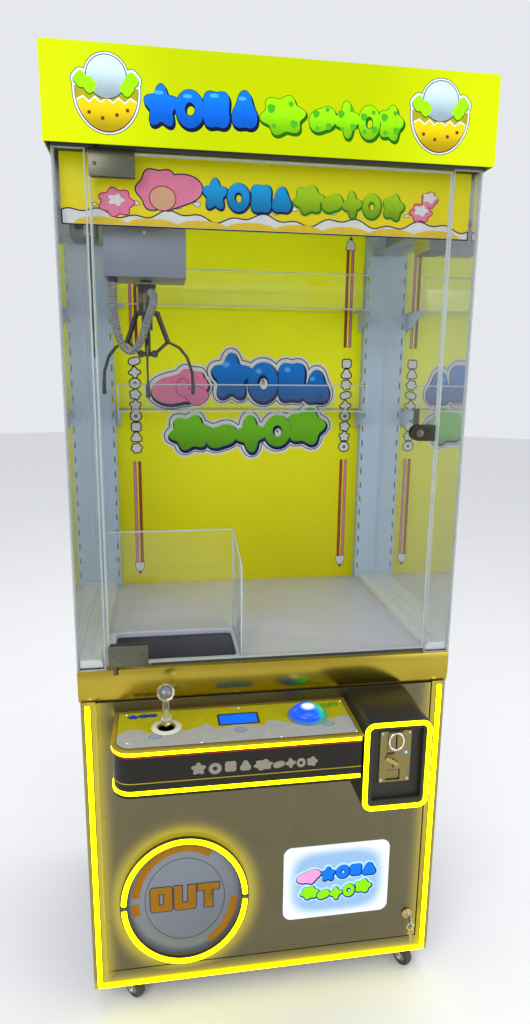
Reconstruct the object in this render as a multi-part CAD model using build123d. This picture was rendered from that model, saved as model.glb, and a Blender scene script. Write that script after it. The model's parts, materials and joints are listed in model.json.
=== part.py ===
from build123d import *
import math
import os

os.makedirs("parts", exist_ok=True)

# A claw crane machine, in millimetres. While it is drawn, X runs left to right seen from the front,
# Y runs from the front face of the cabinet (y = 0) to the back, and Z is up from the floor.
# save() shifts every piece so that the machine's box is centred on the origin.

# ---- driving dimensions ----
cabinet_width = 800
cabinet_depth = 570
kick_z = 60                # underside of the kick rail
frame_z = 75               # underside of the base frame, on its castors
base_z = 100               # top of the base frame
belt_z = 770               # underside of the gold belt
belt_height = 69
playfield_z = 843          # top of the playfield board
glass_top_z = 1823
marquee_height = 155
marquee_side = 8.4         # overhang of the marquee on each side
marquee_front = 27         # overhang of the marquee in front

# ---- stock and clearances ----
sheet = 2                  # folded steel sheet
board = 12                 # wooden board
glass = 5                  # fixed panes
door_glass_t = 8
acrylic = 4
tube = 30                  # square header tube
gap = 0.3                  # between pieces that move past or rest near each other
run = 0.05                 # radial running clearance of pins and shafts

# ---- values worked out from these ----
half = cabinet_width / 2
lower_half = half - 3.6    # the belt stands proud of the lower cabinet
belt_top = belt_z + belt_height
header_z = glass_top_z + tube
top_z = glass_top_z + marquee_height


# ---- helpers ----
def span(x, y, z):
    """Block between two corners, each axis given as (low, high)."""
    size = [high - low for low, high in (x, y, z)]
    middle = [(low + high) / 2 for low, high in (x, y, z)]
    return Pos(*middle) * Box(*size)


def rod_x(x, y, z, radius):
    return Pos((x[0] + x[1]) / 2, y, z) * Rot(0, 90, 0) * Cylinder(radius, x[1] - x[0])


def rod_y(x, y, z, radius):
    return Pos(x, (y[0] + y[1]) / 2, z) * Rot(90, 0, 0) * Cylinder(radius, y[1] - y[0])


def rod_z(x, y, z, radius):
    return Pos(x, y, (z[0] + z[1]) / 2) * Cylinder(radius, z[1] - z[0])


def front_plate(shape, y, x=0, z=0):
    """Plate parallel to the front: a sketch in X and Z, thick from y[0] to y[1]."""
    plane = Plane(origin=(x, y[1], z), x_dir=(1, 0, 0), z_dir=(0, -1, 0))
    return extrude(plane * shape, y[1] - y[0])


def side_plate(points, x):
    """Plate parallel to the side: an outline of (y, z) points, thick from x[0] to x[1]."""
    plane = Plane(origin=(x[0], 0, 0), x_dir=(0, 1, 0), z_dir=(1, 0, 0))
    return extrude(plane * outline(points), x[1] - x[0])


def outline(points):
    return make_face(Polyline(*points, close=True))


def mirrored(piece):
    """The piece and its mirror image across the machine's middle."""
    return [piece, mirror(piece, about=Plane.YZ)]


def save(node, *pieces):
    solids = []
    for piece in pieces:
        moved = Pos(0, -origin_y, 0) * piece
        solids.extend(moved.solids())
    export_step(solids[0] if len(solids) == 1 else Compound(solids), f"parts/{node}.step")


# ---- inside and back of the lower cabinet ----
louvre_x = (-190, 0)
louvre_z = 500
louvre_rows = 8
louvre_size = (150, 8)
louvre_pitch = 22
cash_x = (170, 330)
cash_y = (40, 210)
cash_height = 150
cash_wall = 1.5
supply_x = (-20, 120)
supply_y = (330, 530)
supply_height = 52
card_x = (170, 330)
card_y = (350, 500)
card_rise = 20
pillar_inset = 10
pillar_r = 3

# ---- mains inlet ----
inlet_x = (250, 298)
inlet_z = (170, 200)
inlet_flange = 2

# ---- console and depth origin ----
console_x = (-328.5, 164)
console_front = -154
console_z = (644, 745)
console_corner = 40
console_wall = 2.5
origin_y = (cabinet_depth + inlet_flange + console_front) / 2

# ---- castors ----
castor_x = 330
castor_y = 54
castor_rear_y = cabinet_depth - 62
castor_trail = 32
castor_turns = (-45, -60)     # where the front pair trails, left and right
wheel_r = 25
wheel_width = 20
axle_r = 4
kingpin_r = 5
race_r = 20
race_drop = 7
crossmember = 62

# ---- service door ----
door_x = (-364, 363)
door_z = (105, 768)
door_flange = 15
jamb_inner = 366
jamb_depth = 30
hinge_x = -365
hinge_y = -3
knuckle_r = 3
hinge_pin_r = 1.5
leaf = 1.5
knuckle_span = (door_z[1] - door_z[0]) / 5
outlet_x = -188.5
outlet_z = 273
outlet_half = (144.5, 164)
outlet_rim = 17.5          # width of the outlet ring's moulding
outlet_depth = 8
flap_lap = 6               # how far the flap overlaps the hole behind the panel
flap_t = 3
flap_hinge_rise = 6        # hinge axis above the flap's top edge
flap_hinge_y = 8
window_x = (37, 288)
window_z = (188.5, 378)
window_corner = 20
lightbox_depth = 30
lock_x = 339
lock_z = 171
lock_r = 9.5
rotor_r = 7
cam_length = 36

# ---- coin box ----
coin_x = (165, 308)
coin_front = -150
coin_z = (567, 766)
coin_corner = 22
coin_wall = 2.5
recess_x = (186, 289)
recess_z = (592, 748)
recess_y = -138
plate_x = (202, 267)
plate_z = (626, 740)
plate_t = 3
acceptor_depth = 66
entry_z = 718
slot_width = 3
slot_height = 30
cup_x = (216, 246)
cup_z = (630, 654)
cup_depth = 34
return_pin_r = 1.5
reject_x = 220
reject_z = 679
reject_length = 30
reject_pin_r = 2

# ---- console controls ----
stick_x = -222
stick_y = -74
stick_pivot_z = 715
stick_ball_z = 820
stick_ball_r = 17.5
stick_rod_r = 5
stick_hole_r = 17
gimbal_r = 20
gimbal_bore = 14
gimbal_pin_r = 2.5
gimbal_height = 10
button_x = 68
button_y = -66
button_r = 33
button_rim = 9
button_travel = 4

# ---- playfield ----
hole_x = (-330, -66)
hole_y = (37, 190)
hole_corner = 12
chute_x = (-331, -48)
chute_y = (44, 205)
chute_front_z = 446        # the duct is open to the outlet below this
ramp_z = (105, 148)
guard_x = (-346, -58)
guard_y = (22, 199)
guard_z = 1084
guard_front_z = 1050
vent_x = (-312, -112)
vent_z = 1066
vent_pitch = 23.6
vent_size = (16, 3.5)
post_x = (337, 394)
post_y = (528, 556)
post_slot = (4, 17)
post_slot_pitch = 40
back_y = (556, 562)
channel_x = (348, 394)
channel_height = 17
channel_y = (8, 528)
shelf_half = 326
shelf_y = (438, 556)
shelves = ((1601, 84), (1340, 67))     # top of the board, height of its fence
bracket_t = 2
bracket_drop = 52

# ---- glass door ----
pane_x = (-336, 339)
pane_z = (851, 1818)
pane_y = (0, door_glass_t)
strip_inner = 342
patch_x = (-336, -256)
patch_t = 4
patch_top_z = 1777
patch_bottom_z = 892
pivot_x = -322
pivot_r = 6
pivot_depth = 9
latch_x = (283, 333)
latch_z = (1307, 1339)
latch_t = 8
latch_rotor_r = 8
latch_cam = 48

# ---- crane ----
crane_x = -243
crane_y = 130
banner_half = 390
banner_z = (1702, glass_top_z)
banner_y = (30, 32)
rail_x = (352, 388)
rail_y = (36, 524)
rail_z = 1745
rail_t = 3
truck_x = (334, 348)
truck_y = (90, 170)
truck_z = (1690, 1772)
truck_box_x = 384
truck_box_z = 1738
roller_r = 8
truck_hole_rise = 22
truck_hole_r = 9
drive_length = 45
drive_r = 15
beam_y = 32                # half the distance between the two beams of the bridge
beam_size = (12, 20)
beam_z = 1740
cover_x = (-321, -165)
cover_y = (68, 192)
cover_z = (1618, 1738)
cover_wall = 1.5
drum_r = 18
drum_length = 34
drum_z = 1690
drum_flange = 3
shaft_r = 4
rope_r = 1
rope_hole_r = 9

# ---- claw ----
coil_r = 19
coil_z = (1558, 1610)
stem_r = 11
stem_z = 1522
plunger_r = 6
claw_pivot = (24, 1556)    # radius and height of the upper link pin
elbow = (48, 1500)
hub_pin = (16, 1475)
claw_pin_r = 2
strap_t = 2
strap_width = 7
prong_t = 4
prong_width = 5
prong_eye_r = 7.5
prong_slack = 2.4          # the open pivot at the hub: the eye is larger than its pin by this radius
prong_path = [(48, 1500), (76, 1489), (95, 1469), (107, 1438), (109, 1408)]
prong_tip_z = 1390
prong_tip_r = 5
prong_angles = (-90, 30, 150)

# ---- cords ----
curly_r = 8.5
curly_route = [(-306, 84, 1617.5), (-306, 84, 1598), (-307, 78, 1563), (-301, 70, 1520), (-293, 65, 1491),
               (-278, 61, 1476), (-262, 60, 1483), (-250, 60.5, 1511), (-238, 67, 1547), (-227, 82, 1576),
               (-230, 97.5, 1594), (-236.44, 113.45, 1594)]
trail_r = 2.6
trail_x = -344
trail_y = (70, 102)
trail_bottom = 1466
trail_rises = (24, 60, 110, 160, 214.3)      # heights of the route's points over its lowest bend


# ---- lower cabinet ----
def base_frame():
    frame = span((-lower_half, lower_half), (jamb_depth, cabinet_depth - board), (base_z - sheet, base_z))
    for y in ((jamb_depth, jamb_depth + crossmember), (cabinet_depth - board - crossmember, cabinet_depth - board)):
        rail = span((-lower_half, lower_half), y, (frame_z, base_z))
        rail -= span((-lower_half + sheet, lower_half - sheet), (y[0] + sheet, y[1] - sheet),
                     (frame_z + 3 * sheet, base_z - sheet))
        frame += rail
    for side in (-1, 1):
        rail = span((-20, 20), (jamb_depth + crossmember, cabinet_depth - board - crossmember), (frame_z, base_z))
        rail -= span((-20 + sheet, 20 - sheet), (jamb_depth, cabinet_depth), (frame_z - 1, base_z - sheet))
        frame += Pos(side * (lower_half - 20), 0, 0) * rail
    for x in (-castor_x, castor_x):
        frame += rod_z(x, castor_y, (frame_z - race_drop, frame_z), race_r)
        frame += rod_z(x, castor_y, (kick_z - 4, frame_z), kingpin_r)
    return frame


def side_panel():
    return span((lower_half - board, lower_half), (jamb_depth, cabinet_depth - board), (base_z, belt_z))


def rear_panel():
    panel = span((-lower_half, lower_half), (cabinet_depth - board, cabinet_depth), (frame_z, belt_z))
    for row in range(louvre_rows):
        for x in louvre_x:
            z = louvre_z + louvre_pitch * row
            panel -= span((x - louvre_size[0] / 2, x + louvre_size[0] / 2), (cabinet_depth - 20, cabinet_depth + 5),
                          (z, z + louvre_size[1]))
    panel -= span(inlet_x, (cabinet_depth - 20, cabinet_depth + 5), inlet_z)
    return panel


def power_inlet():
    """Mains inlet: flange outside the rear panel, body through it and a recess for the plug."""
    middle = (inlet_x[0] + inlet_x[1]) / 2
    body = span((inlet_x[0] + gap, inlet_x[1] - gap), (cabinet_depth - 30, cabinet_depth),
                (inlet_z[0] + gap, inlet_z[1] - gap))
    body += span((inlet_x[0] - 8, inlet_x[1] + 8), (cabinet_depth, cabinet_depth + inlet_flange), (inlet_z[0] - 3, inlet_z[1] + 3))
    body -= span((middle - 13, middle + 13), (cabinet_depth - 18, cabinet_depth + 5), (inlet_z[0] + 6, inlet_z[1] - 6))
    for x in (-7, 0, 7):
        body += span((middle + x - 1, middle + x + 1), (cabinet_depth - 18, cabinet_depth - 3), (183, 187))
    return body


def front_frame():
    """Two jambs and the kick rail; the left jamb carries its half of the service door's hinge."""
    left = span((-lower_half, -jamb_inner), (0, jamb_depth), (kick_z, belt_z))
    for index in (1, 3):
        low = door_z[0] + index * knuckle_span + gap
        high = low + knuckle_span - 2 * gap
        left += span((hinge_x - 9, hinge_x), (-leaf, 0), (low, high))
        left += rod_z(hinge_x, hinge_y, (low, high), knuckle_r)
    left += rod_z(hinge_x, hinge_y, (door_z[0] + gap, door_z[0] + 5 * knuckle_span - 5 * gap), hinge_pin_r)
    right = span((jamb_inner, lower_half), (0, jamb_depth), (kick_z, belt_z))
    kick = span((-jamb_inner, jamb_inner), (0, jamb_depth), (kick_z, base_z + 2))
    return [left, right, kick]


def belt_trim():
    """Mirror-finished band round the cabinet; its front rail holds the glass door's lower pivot."""
    chamfer = 3.6
    front = side_plate([(0, belt_top), (0, belt_z + 20), (chamfer, belt_z), (tube + 2, belt_z),
                        (tube + 2, playfield_z - board), (20, playfield_z - board), (20, belt_top)], (-half, half))
    front -= rod_z(pivot_x, pane_y[1] / 2, (belt_top - pivot_depth - 2, belt_top + 1), pivot_r + run)
    side = front_plate(outline([(half - board, belt_top), (half - board, belt_z), (half - chamfer, belt_z),
                                (half, belt_z + 20), (half, belt_top)]), (tube + 2, cabinet_depth - board))
    rear = span((-half, half), (cabinet_depth - board, cabinet_depth), (belt_z, belt_top))
    return [front, *mirrored(side), rear]


def playfield_floor():
    floor = span((-half + board, half - board), (20, cabinet_depth - board), (playfield_z - board, playfield_z))
    hole = span(hole_x, hole_y, (playfield_z - 20, playfield_z + 5))
    floor -= fillet(hole.edges().filter_by(Axis.Z), hole_corner)
    return floor


def prize_chute():
    """Duct from the playfield hole down to a ramp behind the prize outlet."""
    under = playfield_z - board
    duct = span(chute_x, (chute_y[1], chute_y[1] + sheet), (base_z, under))
    duct += span(chute_x, (chute_y[0] - sheet, chute_y[0]), (chute_front_z, under))
    for x in ((chute_x[0], chute_x[0] + sheet), (chute_x[1] - sheet, chute_x[1])):
        duct += span(x, (chute_y[0] - sheet, chute_y[1]), (base_z, under))
        duct += span(x, (22, chute_y[0]), (base_z + sheet + gap, chute_front_z))
    duct += side_plate([(22, ramp_z[0] - sheet), (chute_y[1], ramp_z[1] - sheet),
                        (chute_y[1], ramp_z[1]), (22, ramp_z[0])], chute_x)
    return duct


def cash_box():
    box = span(cash_x, cash_y, (base_z, base_z + cash_height))
    return box - span((cash_x[0] + cash_wall, cash_x[1] - cash_wall), (cash_y[0] + cash_wall, cash_y[1] - cash_wall),
                      (base_z + cash_wall, base_z + cash_height + 1))


def control_unit():
    """Power supply case and the control board on its pillars, on the base."""
    top = base_z + supply_height
    supply = span(supply_x, supply_y, (base_z, top))
    for row in range(6):
        y = supply_y[0] + 20 + 26 * row
        supply -= span((supply_x[0] + 10, supply_x[1] - 10), (y, y + 8), (top - 6, top + 1))
    card_z = base_z + card_rise
    card = span(card_x, card_y, (card_z, card_z + sheet))
    for x in (card_x[0] + pillar_inset, card_x[1] - pillar_inset):
        for y in (card_y[0] + pillar_inset, card_y[1] - pillar_inset):
            card += rod_z(x, y, (base_z, card_z), pillar_r)
    for dx, dy, height in ((30, 30, 14), (70, 90, 10), (120, 50, 18), (45, 130, 12)):
        x, y = card_x[0] + dx, card_y[0] + dy
        card += span((x - 12, x + 12), (y - 9, y + 9), (card_z + sheet, card_z + sheet + height))
    return [supply, card]


# ---- castors ----
def fork(x, y, turn):
    """Castor fork with its axle; turn is the direction of the trail about the kingpin."""
    cheek_y = wheel_width / 2 + 1
    shape = outline([(-16, frame_z - race_drop - gap - 4), (14, frame_z - race_drop - gap - 4),
                     (castor_trail + 6, wheel_r + 8), (castor_trail + 6, wheel_r - 6),
                     (castor_trail - 6, wheel_r - 6), (-16, wheel_r + 26)])
    body = front_plate(shape, (cheek_y, cheek_y + 2.5)) + front_plate(shape, (-cheek_y - 2.5, -cheek_y))
    top = frame_z - race_drop - gap
    body += rod_z(0, 0, (top - 6, top), race_r)
    body += rod_y(castor_trail, (-cheek_y - 4, cheek_y + 4), wheel_r, axle_r)
    body -= rod_z(0, 0, (0, 100), kingpin_r + run)
    return Pos(x, y, 0) * Rot(0, 0, turn) * body


def wheel(x, y, turn):
    tread = rod_y(castor_trail, (-wheel_width / 2, wheel_width / 2), wheel_r, wheel_r)
    tread = fillet(tread.edges(), 3)
    for side in (-1, 1):
        tread -= rod_y(castor_trail, sorted((side * (wheel_width / 2 - 3), side * wheel_width)), wheel_r, wheel_r - 8)
        tread += rod_y(castor_trail, sorted((side * 2, side * (wheel_width / 2 + 0.6))), wheel_r, axle_r + 4)
    tread -= rod_y(castor_trail, (-wheel_width, wheel_width), wheel_r, axle_r + run)
    return Pos(x, y, 0) * Rot(0, 0, turn) * tread


def fixed_fork(x):
    """Rear castor: the same fork, its plate bolted to the frame, with no swivel."""
    body = fork(x, castor_rear_y, 90)
    top = frame_z - race_drop - gap
    return body + rod_z(x, castor_rear_y, (top - 6, frame_z), race_r)


# ---- service door ----
def service_door():
    """Folded stainless tray with its cut-outs, hinge knuckles, flap lugs and the lock's barrel."""
    door = span(door_x, (0, door_flange + sheet), door_z)
    door -= span((door_x[0] + sheet, door_x[1] - sheet), (sheet, door_flange + 5), (door_z[0] + sheet, door_z[1] - sheet))
    hole = Ellipse(outlet_half[0] - outlet_rim, outlet_half[1] - outlet_rim)
    door -= front_plate(hole, (-5, 5), outlet_x, outlet_z)
    door -= front_plate(window_shape(gap), (-5, 5), *window_middle())
    door -= span((recess_x[0] + 8, recess_x[1] - 8), (-5, 5), (recess_z[0] + 8, recess_z[1] - 8))
    door -= span((console_x[0] + 60, console_x[1] - 60), (-5, 5), (console_z[0] + 20, console_z[1] - 20))
    for index in (0, 2, 4):
        low = door_z[0] + index * knuckle_span
        door += span((hinge_x, hinge_x + 12), (-leaf, 0), (low, low + knuckle_span - 3 * gap))
        door += rod_z(hinge_x, hinge_y, (low, low + knuckle_span - 3 * gap), knuckle_r)
    door -= rod_z(hinge_x, hinge_y, (door_z[0] - 1, door_z[1]), hinge_pin_r + run)
    for index in (1, 3):
        low = door_z[0] + index * knuckle_span
        door -= span((hinge_x - 5, hinge_x + knuckle_r + gap), (-10, 0), (low, low + knuckle_span))
    for side in (-1, 1):
        lug = span((outlet_x + side * 70 - 3, outlet_x + side * 70 + 3), (sheet, flap_hinge_y + 6),
                   (flap_axis_z() - 6, flap_axis_z() + 8))
        door += lug
    door += rod_x((outlet_x - 73, outlet_x + 73), flap_hinge_y, flap_axis_z(), 2)
    door += rod_y(lock_x, (-4, 24), lock_z, lock_r)
    door -= rod_y(lock_x, (-10, 40), lock_z, rotor_r + run)
    return door


def flap_axis_z():
    return outlet_z + outlet_half[1] - outlet_rim + flap_lap + flap_hinge_rise


def window_shape(extra=0):
    return RectangleRounded(window_x[1] - window_x[0] + 2 * extra, window_z[1] - window_z[0] + 2 * extra,
                            window_corner + extra)


def window_middle():
    return ((window_x[0] + window_x[1]) / 2, (window_z[0] + window_z[1]) / 2)


def window_lightbox():
    """Glowing window: a lens through the door and a lamp box behind it, open at the back."""
    box = front_plate(window_shape(), (-3, lightbox_depth), *window_middle())
    hollow = front_plate(RectangleRounded(window_x[1] - window_x[0] - 6, window_z[1] - window_z[0] - 6, window_corner - 3),
                         (3, lightbox_depth + 5), *window_middle())
    rim = front_plate(window_shape(8), (sheet, sheet + 3), *window_middle())
    rim -= front_plate(window_shape(-1), (0, 20), *window_middle())
    return box - hollow + rim


def out_ring():
    ring = front_plate(Ellipse(*outlet_half), (-outlet_depth, 0), outlet_x, outlet_z)
    inner = Ellipse(outlet_half[0] - outlet_rim, outlet_half[1] - outlet_rim)
    return ring - front_plate(inner, (-20, 5), outlet_x, outlet_z)


def prize_flap():
    """Elliptical flap behind the panel, hung from tubes on the pin above it."""
    back = sheet + gap
    half_x = outlet_half[0] - outlet_rim + flap_lap
    half_z = outlet_half[1] - outlet_rim + flap_lap
    flap = front_plate(Ellipse(half_x, half_z), (back, back + flap_t), outlet_x, outlet_z)
    for x in ((-40, -10), (10, 40)):
        ear = (outlet_x + x[0], outlet_x + x[1])
        flap += span(ear, (back, back + flap_t), (outlet_z + half_z - 20, flap_axis_z()))
        flap += rod_x(ear, flap_hinge_y, flap_axis_z(), 4)
    return flap - rod_x((outlet_x - 60, outlet_x + 60), flap_hinge_y, flap_axis_z(), 2 + run)


def service_lock_cam():
    """Lock rotor with its key in front and its cam behind the jamb, unlocked and pointing down."""
    rotor = rod_y(lock_x, (-6, jamb_depth + 4), lock_z, rotor_r)
    rotor += span((lock_x - 6, lock_x + 6), (jamb_depth + 1, jamb_depth + 4), (lock_z - cam_length, lock_z))
    rotor += span((lock_x - 1, lock_x + 1), (-20, -6), (lock_z - 4, lock_z + 4))
    bow = Pos(lock_x, -28, lock_z) * Rot(0, 90, 0) * Cylinder(11, 2)
    return rotor + bow - Pos(lock_x, -32, lock_z) * Rot(0, 90, 0) * Cylinder(3, 5)


# ---- console ----
def console_shell():
    """Hollow console with a rounded corner, gimbal lugs, and openings for the stick and the button."""
    outer = rounded_box(console_x, (console_front, 0), console_z, console_corner)
    inner = rounded_box((console_x[0] + console_wall, console_x[1] - console_wall),
                        (console_front + console_wall, 10),
                        (console_z[0] + console_wall, console_z[1] - console_wall), console_corner - console_wall)
    shell = outer - inner
    shell -= rod_z(stick_x, stick_y, (console_z[1] - 10, console_z[1] + 5), stick_hole_r)
    shell -= rod_z(button_x, button_y, (console_z[1] - 10, console_z[1] + 5), button_r + gap)
    rim = rod_z(button_x, button_y, (console_z[1], console_z[1] + 4), button_r + button_rim)
    rim -= rod_z(button_x, button_y, (console_z[1] - 5, console_z[1] + 9), button_r + gap)
    shell += rim
    for side in (-1, 1):
        x = stick_x + side * (gimbal_r + 6)
        shell += span((x - 2, x + 2), (stick_y - 8, stick_y + 8), (stick_pivot_z - 8, console_z[1] - console_wall))
    shell -= rod_x((stick_x - 40, stick_x + 40), stick_y, stick_pivot_z, gimbal_pin_r + run)
    for side in (-1, 1):
        x = button_x + side * 20
        shell += span((x - 4, x + 4), (button_y - 4, button_y + 4), (console_z[0] + console_wall, button_seat_z() - button_travel - gap))
    return shell


def rounded_box(x, y, z, corner):
    """Block with its front left vertical corner rounded."""
    block = span(x, y, z)
    return fillet(block.edges().filter_by(Axis.Z).sort_by(Axis.X)[:2].sort_by(Axis.Y)[0], corner)


def joystick_gimbal():
    ring = rod_z(stick_x, stick_y, (stick_pivot_z - gimbal_height / 2, stick_pivot_z + gimbal_height / 2), gimbal_r)
    ring -= rod_z(stick_x, stick_y, (stick_pivot_z - 20, stick_pivot_z + 20), gimbal_bore)
    for side in (-1, 1):
        reach = sorted((stick_x + side * (gimbal_bore + 2), stick_x + side * (gimbal_r + 9)))
        ring += rod_x(reach, stick_y, stick_pivot_z, gimbal_pin_r)
    return ring - rod_y(stick_x, (stick_y - 30, stick_y + 30), stick_pivot_z, gimbal_pin_r + run)


def joystick_lever():
    """Rod with its cross pin, tapered clear neck and ball."""
    lever = rod_z(stick_x, stick_y, (stick_pivot_z - 25, console_z[1] + 8), stick_rod_r)
    lever += rod_y(stick_x, (stick_y - gimbal_r + 1, stick_y + gimbal_r - 1), stick_pivot_z, gimbal_pin_r)
    neck_low = console_z[1] + 8
    neck_high = stick_ball_z - stick_ball_r + 4
    lever += Pos(stick_x, stick_y, (neck_low + neck_high) / 2) * Cone(11, 6, neck_high - neck_low)
    return lever + Pos(stick_x, stick_y, stick_ball_z) * Sphere(stick_ball_r)


def button_seat_z():
    return console_z[1] - 12


def push_button():
    """Large lit dome on a short skirt."""
    dome_z = console_z[1] + 10
    button = rod_z(button_x, button_y, (button_seat_z(), dome_z), button_r)
    rise = 12
    radius = (button_r ** 2 + rise ** 2) / (2 * rise)
    cap = Pos(button_x, button_y, dome_z + rise - radius) * Sphere(radius)
    return button + (cap & rod_z(button_x, button_y, (dome_z - 1, dome_z + rise + 1), button_r))


# ---- coin box ----
def coin_box():
    """Moulded housing with rounded long edges and a recess for the face plate."""
    block = span(coin_x, (coin_front, 0), coin_z)
    outer = fillet(block.edges().filter_by(Axis.Y), coin_corner)
    inner = span((coin_x[0] + coin_wall, coin_x[1] - coin_wall), (coin_front + coin_wall, 10),
                 (coin_z[0] + coin_wall, coin_z[1] - coin_wall))
    inner = fillet(inner.edges().filter_by(Axis.Y), coin_corner - coin_wall)
    box = outer - inner
    tray = span((recess_x[0] - coin_wall, recess_x[1] + coin_wall), (coin_front + 1, recess_y + coin_wall),
                (recess_z[0] - coin_wall, recess_z[1] + coin_wall))
    box += tray & outer
    box -= span(recess_x, (coin_front - 5, recess_y), recess_z)
    return box - span((plate_x[0] + 4, plate_x[1] - 4), (coin_front, 0), (plate_z[0] + 3, plate_z[1] - 5))


def coin_faceplate():
    """Face plate with the acceptor behind it, the coin entry bezel and the return cup."""
    front = recess_y - plate_t
    plate = span(plate_x, (front, recess_y), plate_z)
    plate += span((plate_x[0] + 5, plate_x[1] - 5), (recess_y, recess_y + acceptor_depth),
                  (plate_z[0] + 4, plate_z[1] - 6))
    middle = (plate_x[0] + plate_x[1]) / 2
    bezel = span((middle - 17, middle + 17), (front - 4, front), (entry_z - 20.5, entry_z + 20.5))
    plate += fillet(bezel.edges().filter_by(Axis.Y), 4)
    plate -= span((middle - slot_width / 2, middle + slot_width / 2), (front - 6, front + 40),
                  (entry_z - slot_height / 2, entry_z + slot_height / 2))
    plate -= span(cup_x, (front - 1, front + cup_depth), cup_z)
    plate -= rod_x((cup_x[0] - 3, cup_x[1] + 3), front + 6, cup_z[1] - 4, return_pin_r + run)
    plate -= rod_y(reject_x, (front - 1, front + 12), reject_z, reject_pin_r + run)
    return plate


def coin_reject_lever():
    """Return lever that slopes down to the right, on a pin through the face plate."""
    front = recess_y - plate_t
    bar = Pos(reject_x, 0, reject_z) * Rot(0, 35, 0) * span((-6, reject_length - 6), (front - gap - 4, front - gap), (-4, 4))
    return bar + rod_y(reject_x, (front - gap - 4, front + 10), reject_z, reject_pin_r)


def coin_return_flap():
    front = recess_y - plate_t
    axis = (front + 6, cup_z[1] - 4)
    flap = span((cup_x[0] + gap, cup_x[1] - gap), (axis[0] - 3.5, axis[0] - 1.5), (cup_z[0] + 1, axis[1] + 1))
    flap += rod_x((cup_x[0] + gap, cup_x[1] - gap), axis[0], axis[1], return_pin_r + 1.5)
    return flap + rod_x((cup_x[0] - 2.5, cup_x[1] + 2.5), axis[0], axis[1], return_pin_r)


# ---- playfield fittings ----
def chute_guard():
    """Clear L-shaped guard round the prize hole, its side wall lower towards the front."""
    back = span(guard_x, (guard_y[1] - acrylic, guard_y[1]), (playfield_z, guard_z))
    side = side_plate([(guard_y[0], playfield_z), (guard_y[1], playfield_z), (guard_y[1], guard_z),
                       (guard_y[1] - 12, guard_z), (guard_y[0] + 14, guard_front_z),
                       (guard_y[0] + 4, guard_front_z - 6), (guard_y[0], guard_front_z - 20)],
                      (guard_x[1] - acrylic, guard_x[1]))
    guard = back + side
    for x in vent_x:
        for row in range(5):
            z = vent_z - row * vent_pitch
            guard -= span((x - vent_size[0] / 2, x + vent_size[0] / 2), (guard_y[1] - 10, guard_y[1] + 5),
                          (z - vent_size[1] / 2, z + vent_size[1] / 2))
    return guard


def rear_post():
    """Perforated corner post, a channel open to the back."""
    post = span(post_x, post_y, (playfield_z, glass_top_z))
    post -= span((post_x[0] + sheet, post_x[1] - sheet), (post_y[0] + sheet, post_y[1] + 5), (playfield_z - 5, glass_top_z + 5))
    count = int((glass_top_z - playfield_z - 40) / post_slot_pitch)
    x = post_x[0] + 6
    for row in range(count):
        z = playfield_z + 40 + row * post_slot_pitch
        post -= span((x - post_slot[0] / 2, x + post_slot[0] / 2), (post_y[0] - 5, post_y[0] + 5),
                     (z - post_slot[1] / 2, z + post_slot[1] / 2))
    return post


def shelf_bracket(board_top):
    """Curved gusset under a shelf's end, with a lip under the board and a tab on the post."""
    under = board_top - acrylic
    front = shelf_y[0] + 2
    depth = post_y[0] + 20 - front
    corner = outline([(front, under), (front + depth, under), (front + depth, under - bracket_drop), (front, under - 12)])
    plane = Plane(origin=(shelf_half - bracket_t, 0, 0), x_dir=(0, 1, 0), z_dir=(1, 0, 0))
    body = extrude(plane * corner, bracket_t)
    scoop = rod_x((shelf_half - 10, shelf_half + 10), front - 12, under - 12 - 118, 118)
    body -= scoop
    body += span((shelf_half - 20, shelf_half), (front, front + depth), (under - bracket_t, under))
    return body + span((shelf_half, post_x[0]), (post_y[0] + 4, front + depth), (under - 40, under - 6))


def shelf(board_top, fence):
    base = span((-shelf_half, shelf_half), shelf_y, (board_top - acrylic, board_top))
    return base + span((-shelf_half, shelf_half), (shelf_y[0], shelf_y[0] + acrylic), (board_top, board_top + fence))


def side_channel():
    """White cover along the foot of a side pane, with two fixing holes."""
    z = (playfield_z, playfield_z + channel_height)
    cover = span(channel_x, channel_y, z)
    top_edges = cover.edges().filter_by(Axis.Y).group_by(Axis.Z)[-1]
    cover = chamfer(top_edges.sort_by(Axis.X)[0], 6)
    cover -= span((channel_x[0] + 4, channel_x[1] - 2), (channel_y[0] + 2, channel_y[1] - 2), (z[0] - 1, z[1] - 8))
    for y in (60, 300):
        cover -= rod_z((channel_x[0] + channel_x[1]) / 2, y, (z[0], z[1] + 5), 3)
    return cover


# ---- glass and upper cabinet ----
def side_pane():
    return span((half - 6, half - 1), (glass + 1, back_y[1]), (belt_top, glass_top_z))


def front_strip():
    return span((strip_inner, half - 1), (0, glass + 1), (belt_top, glass_top_z))


def header_frame():
    """Ring of square tubes over the glass; the front one holds the glass door's upper pivot."""
    z = (glass_top_z, header_z)
    front = span((-half, half), (0, tube), z)
    front -= rod_z(pivot_x, pane_y[1] / 2, (z[0] - 1, z[0] + pivot_depth + 2), pivot_r + run)
    side = span((half - tube, half), (tube, back_y[1] - tube), z)
    rear = span((-half, half), (back_y[1] - tube, back_y[1]), z)
    return [front, *mirrored(side), rear]


def marquee_housing():
    """Lamp housing over the header, open in front for the lit face."""
    width = half + marquee_side
    y = (-marquee_front + glass, back_y[1] + 6)
    shell = span((-width, width), y, (glass_top_z, top_z))
    shell -= span((-width + sheet, width - sheet), (y[0] - 5, y[1] - sheet), (header_z + sheet, top_z - sheet))
    shell -= span((-width + sheet, width - sheet), (y[0] + sheet, y[1] - sheet), (glass_top_z - 5, header_z))
    return shell


def marquee_face():
    width = half + marquee_side
    return span((-width, width), (-marquee_front, -marquee_front + glass), (glass_top_z, top_z))


def inner_banner():
    return span((-banner_half, banner_half), banner_y, banner_z)


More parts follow.
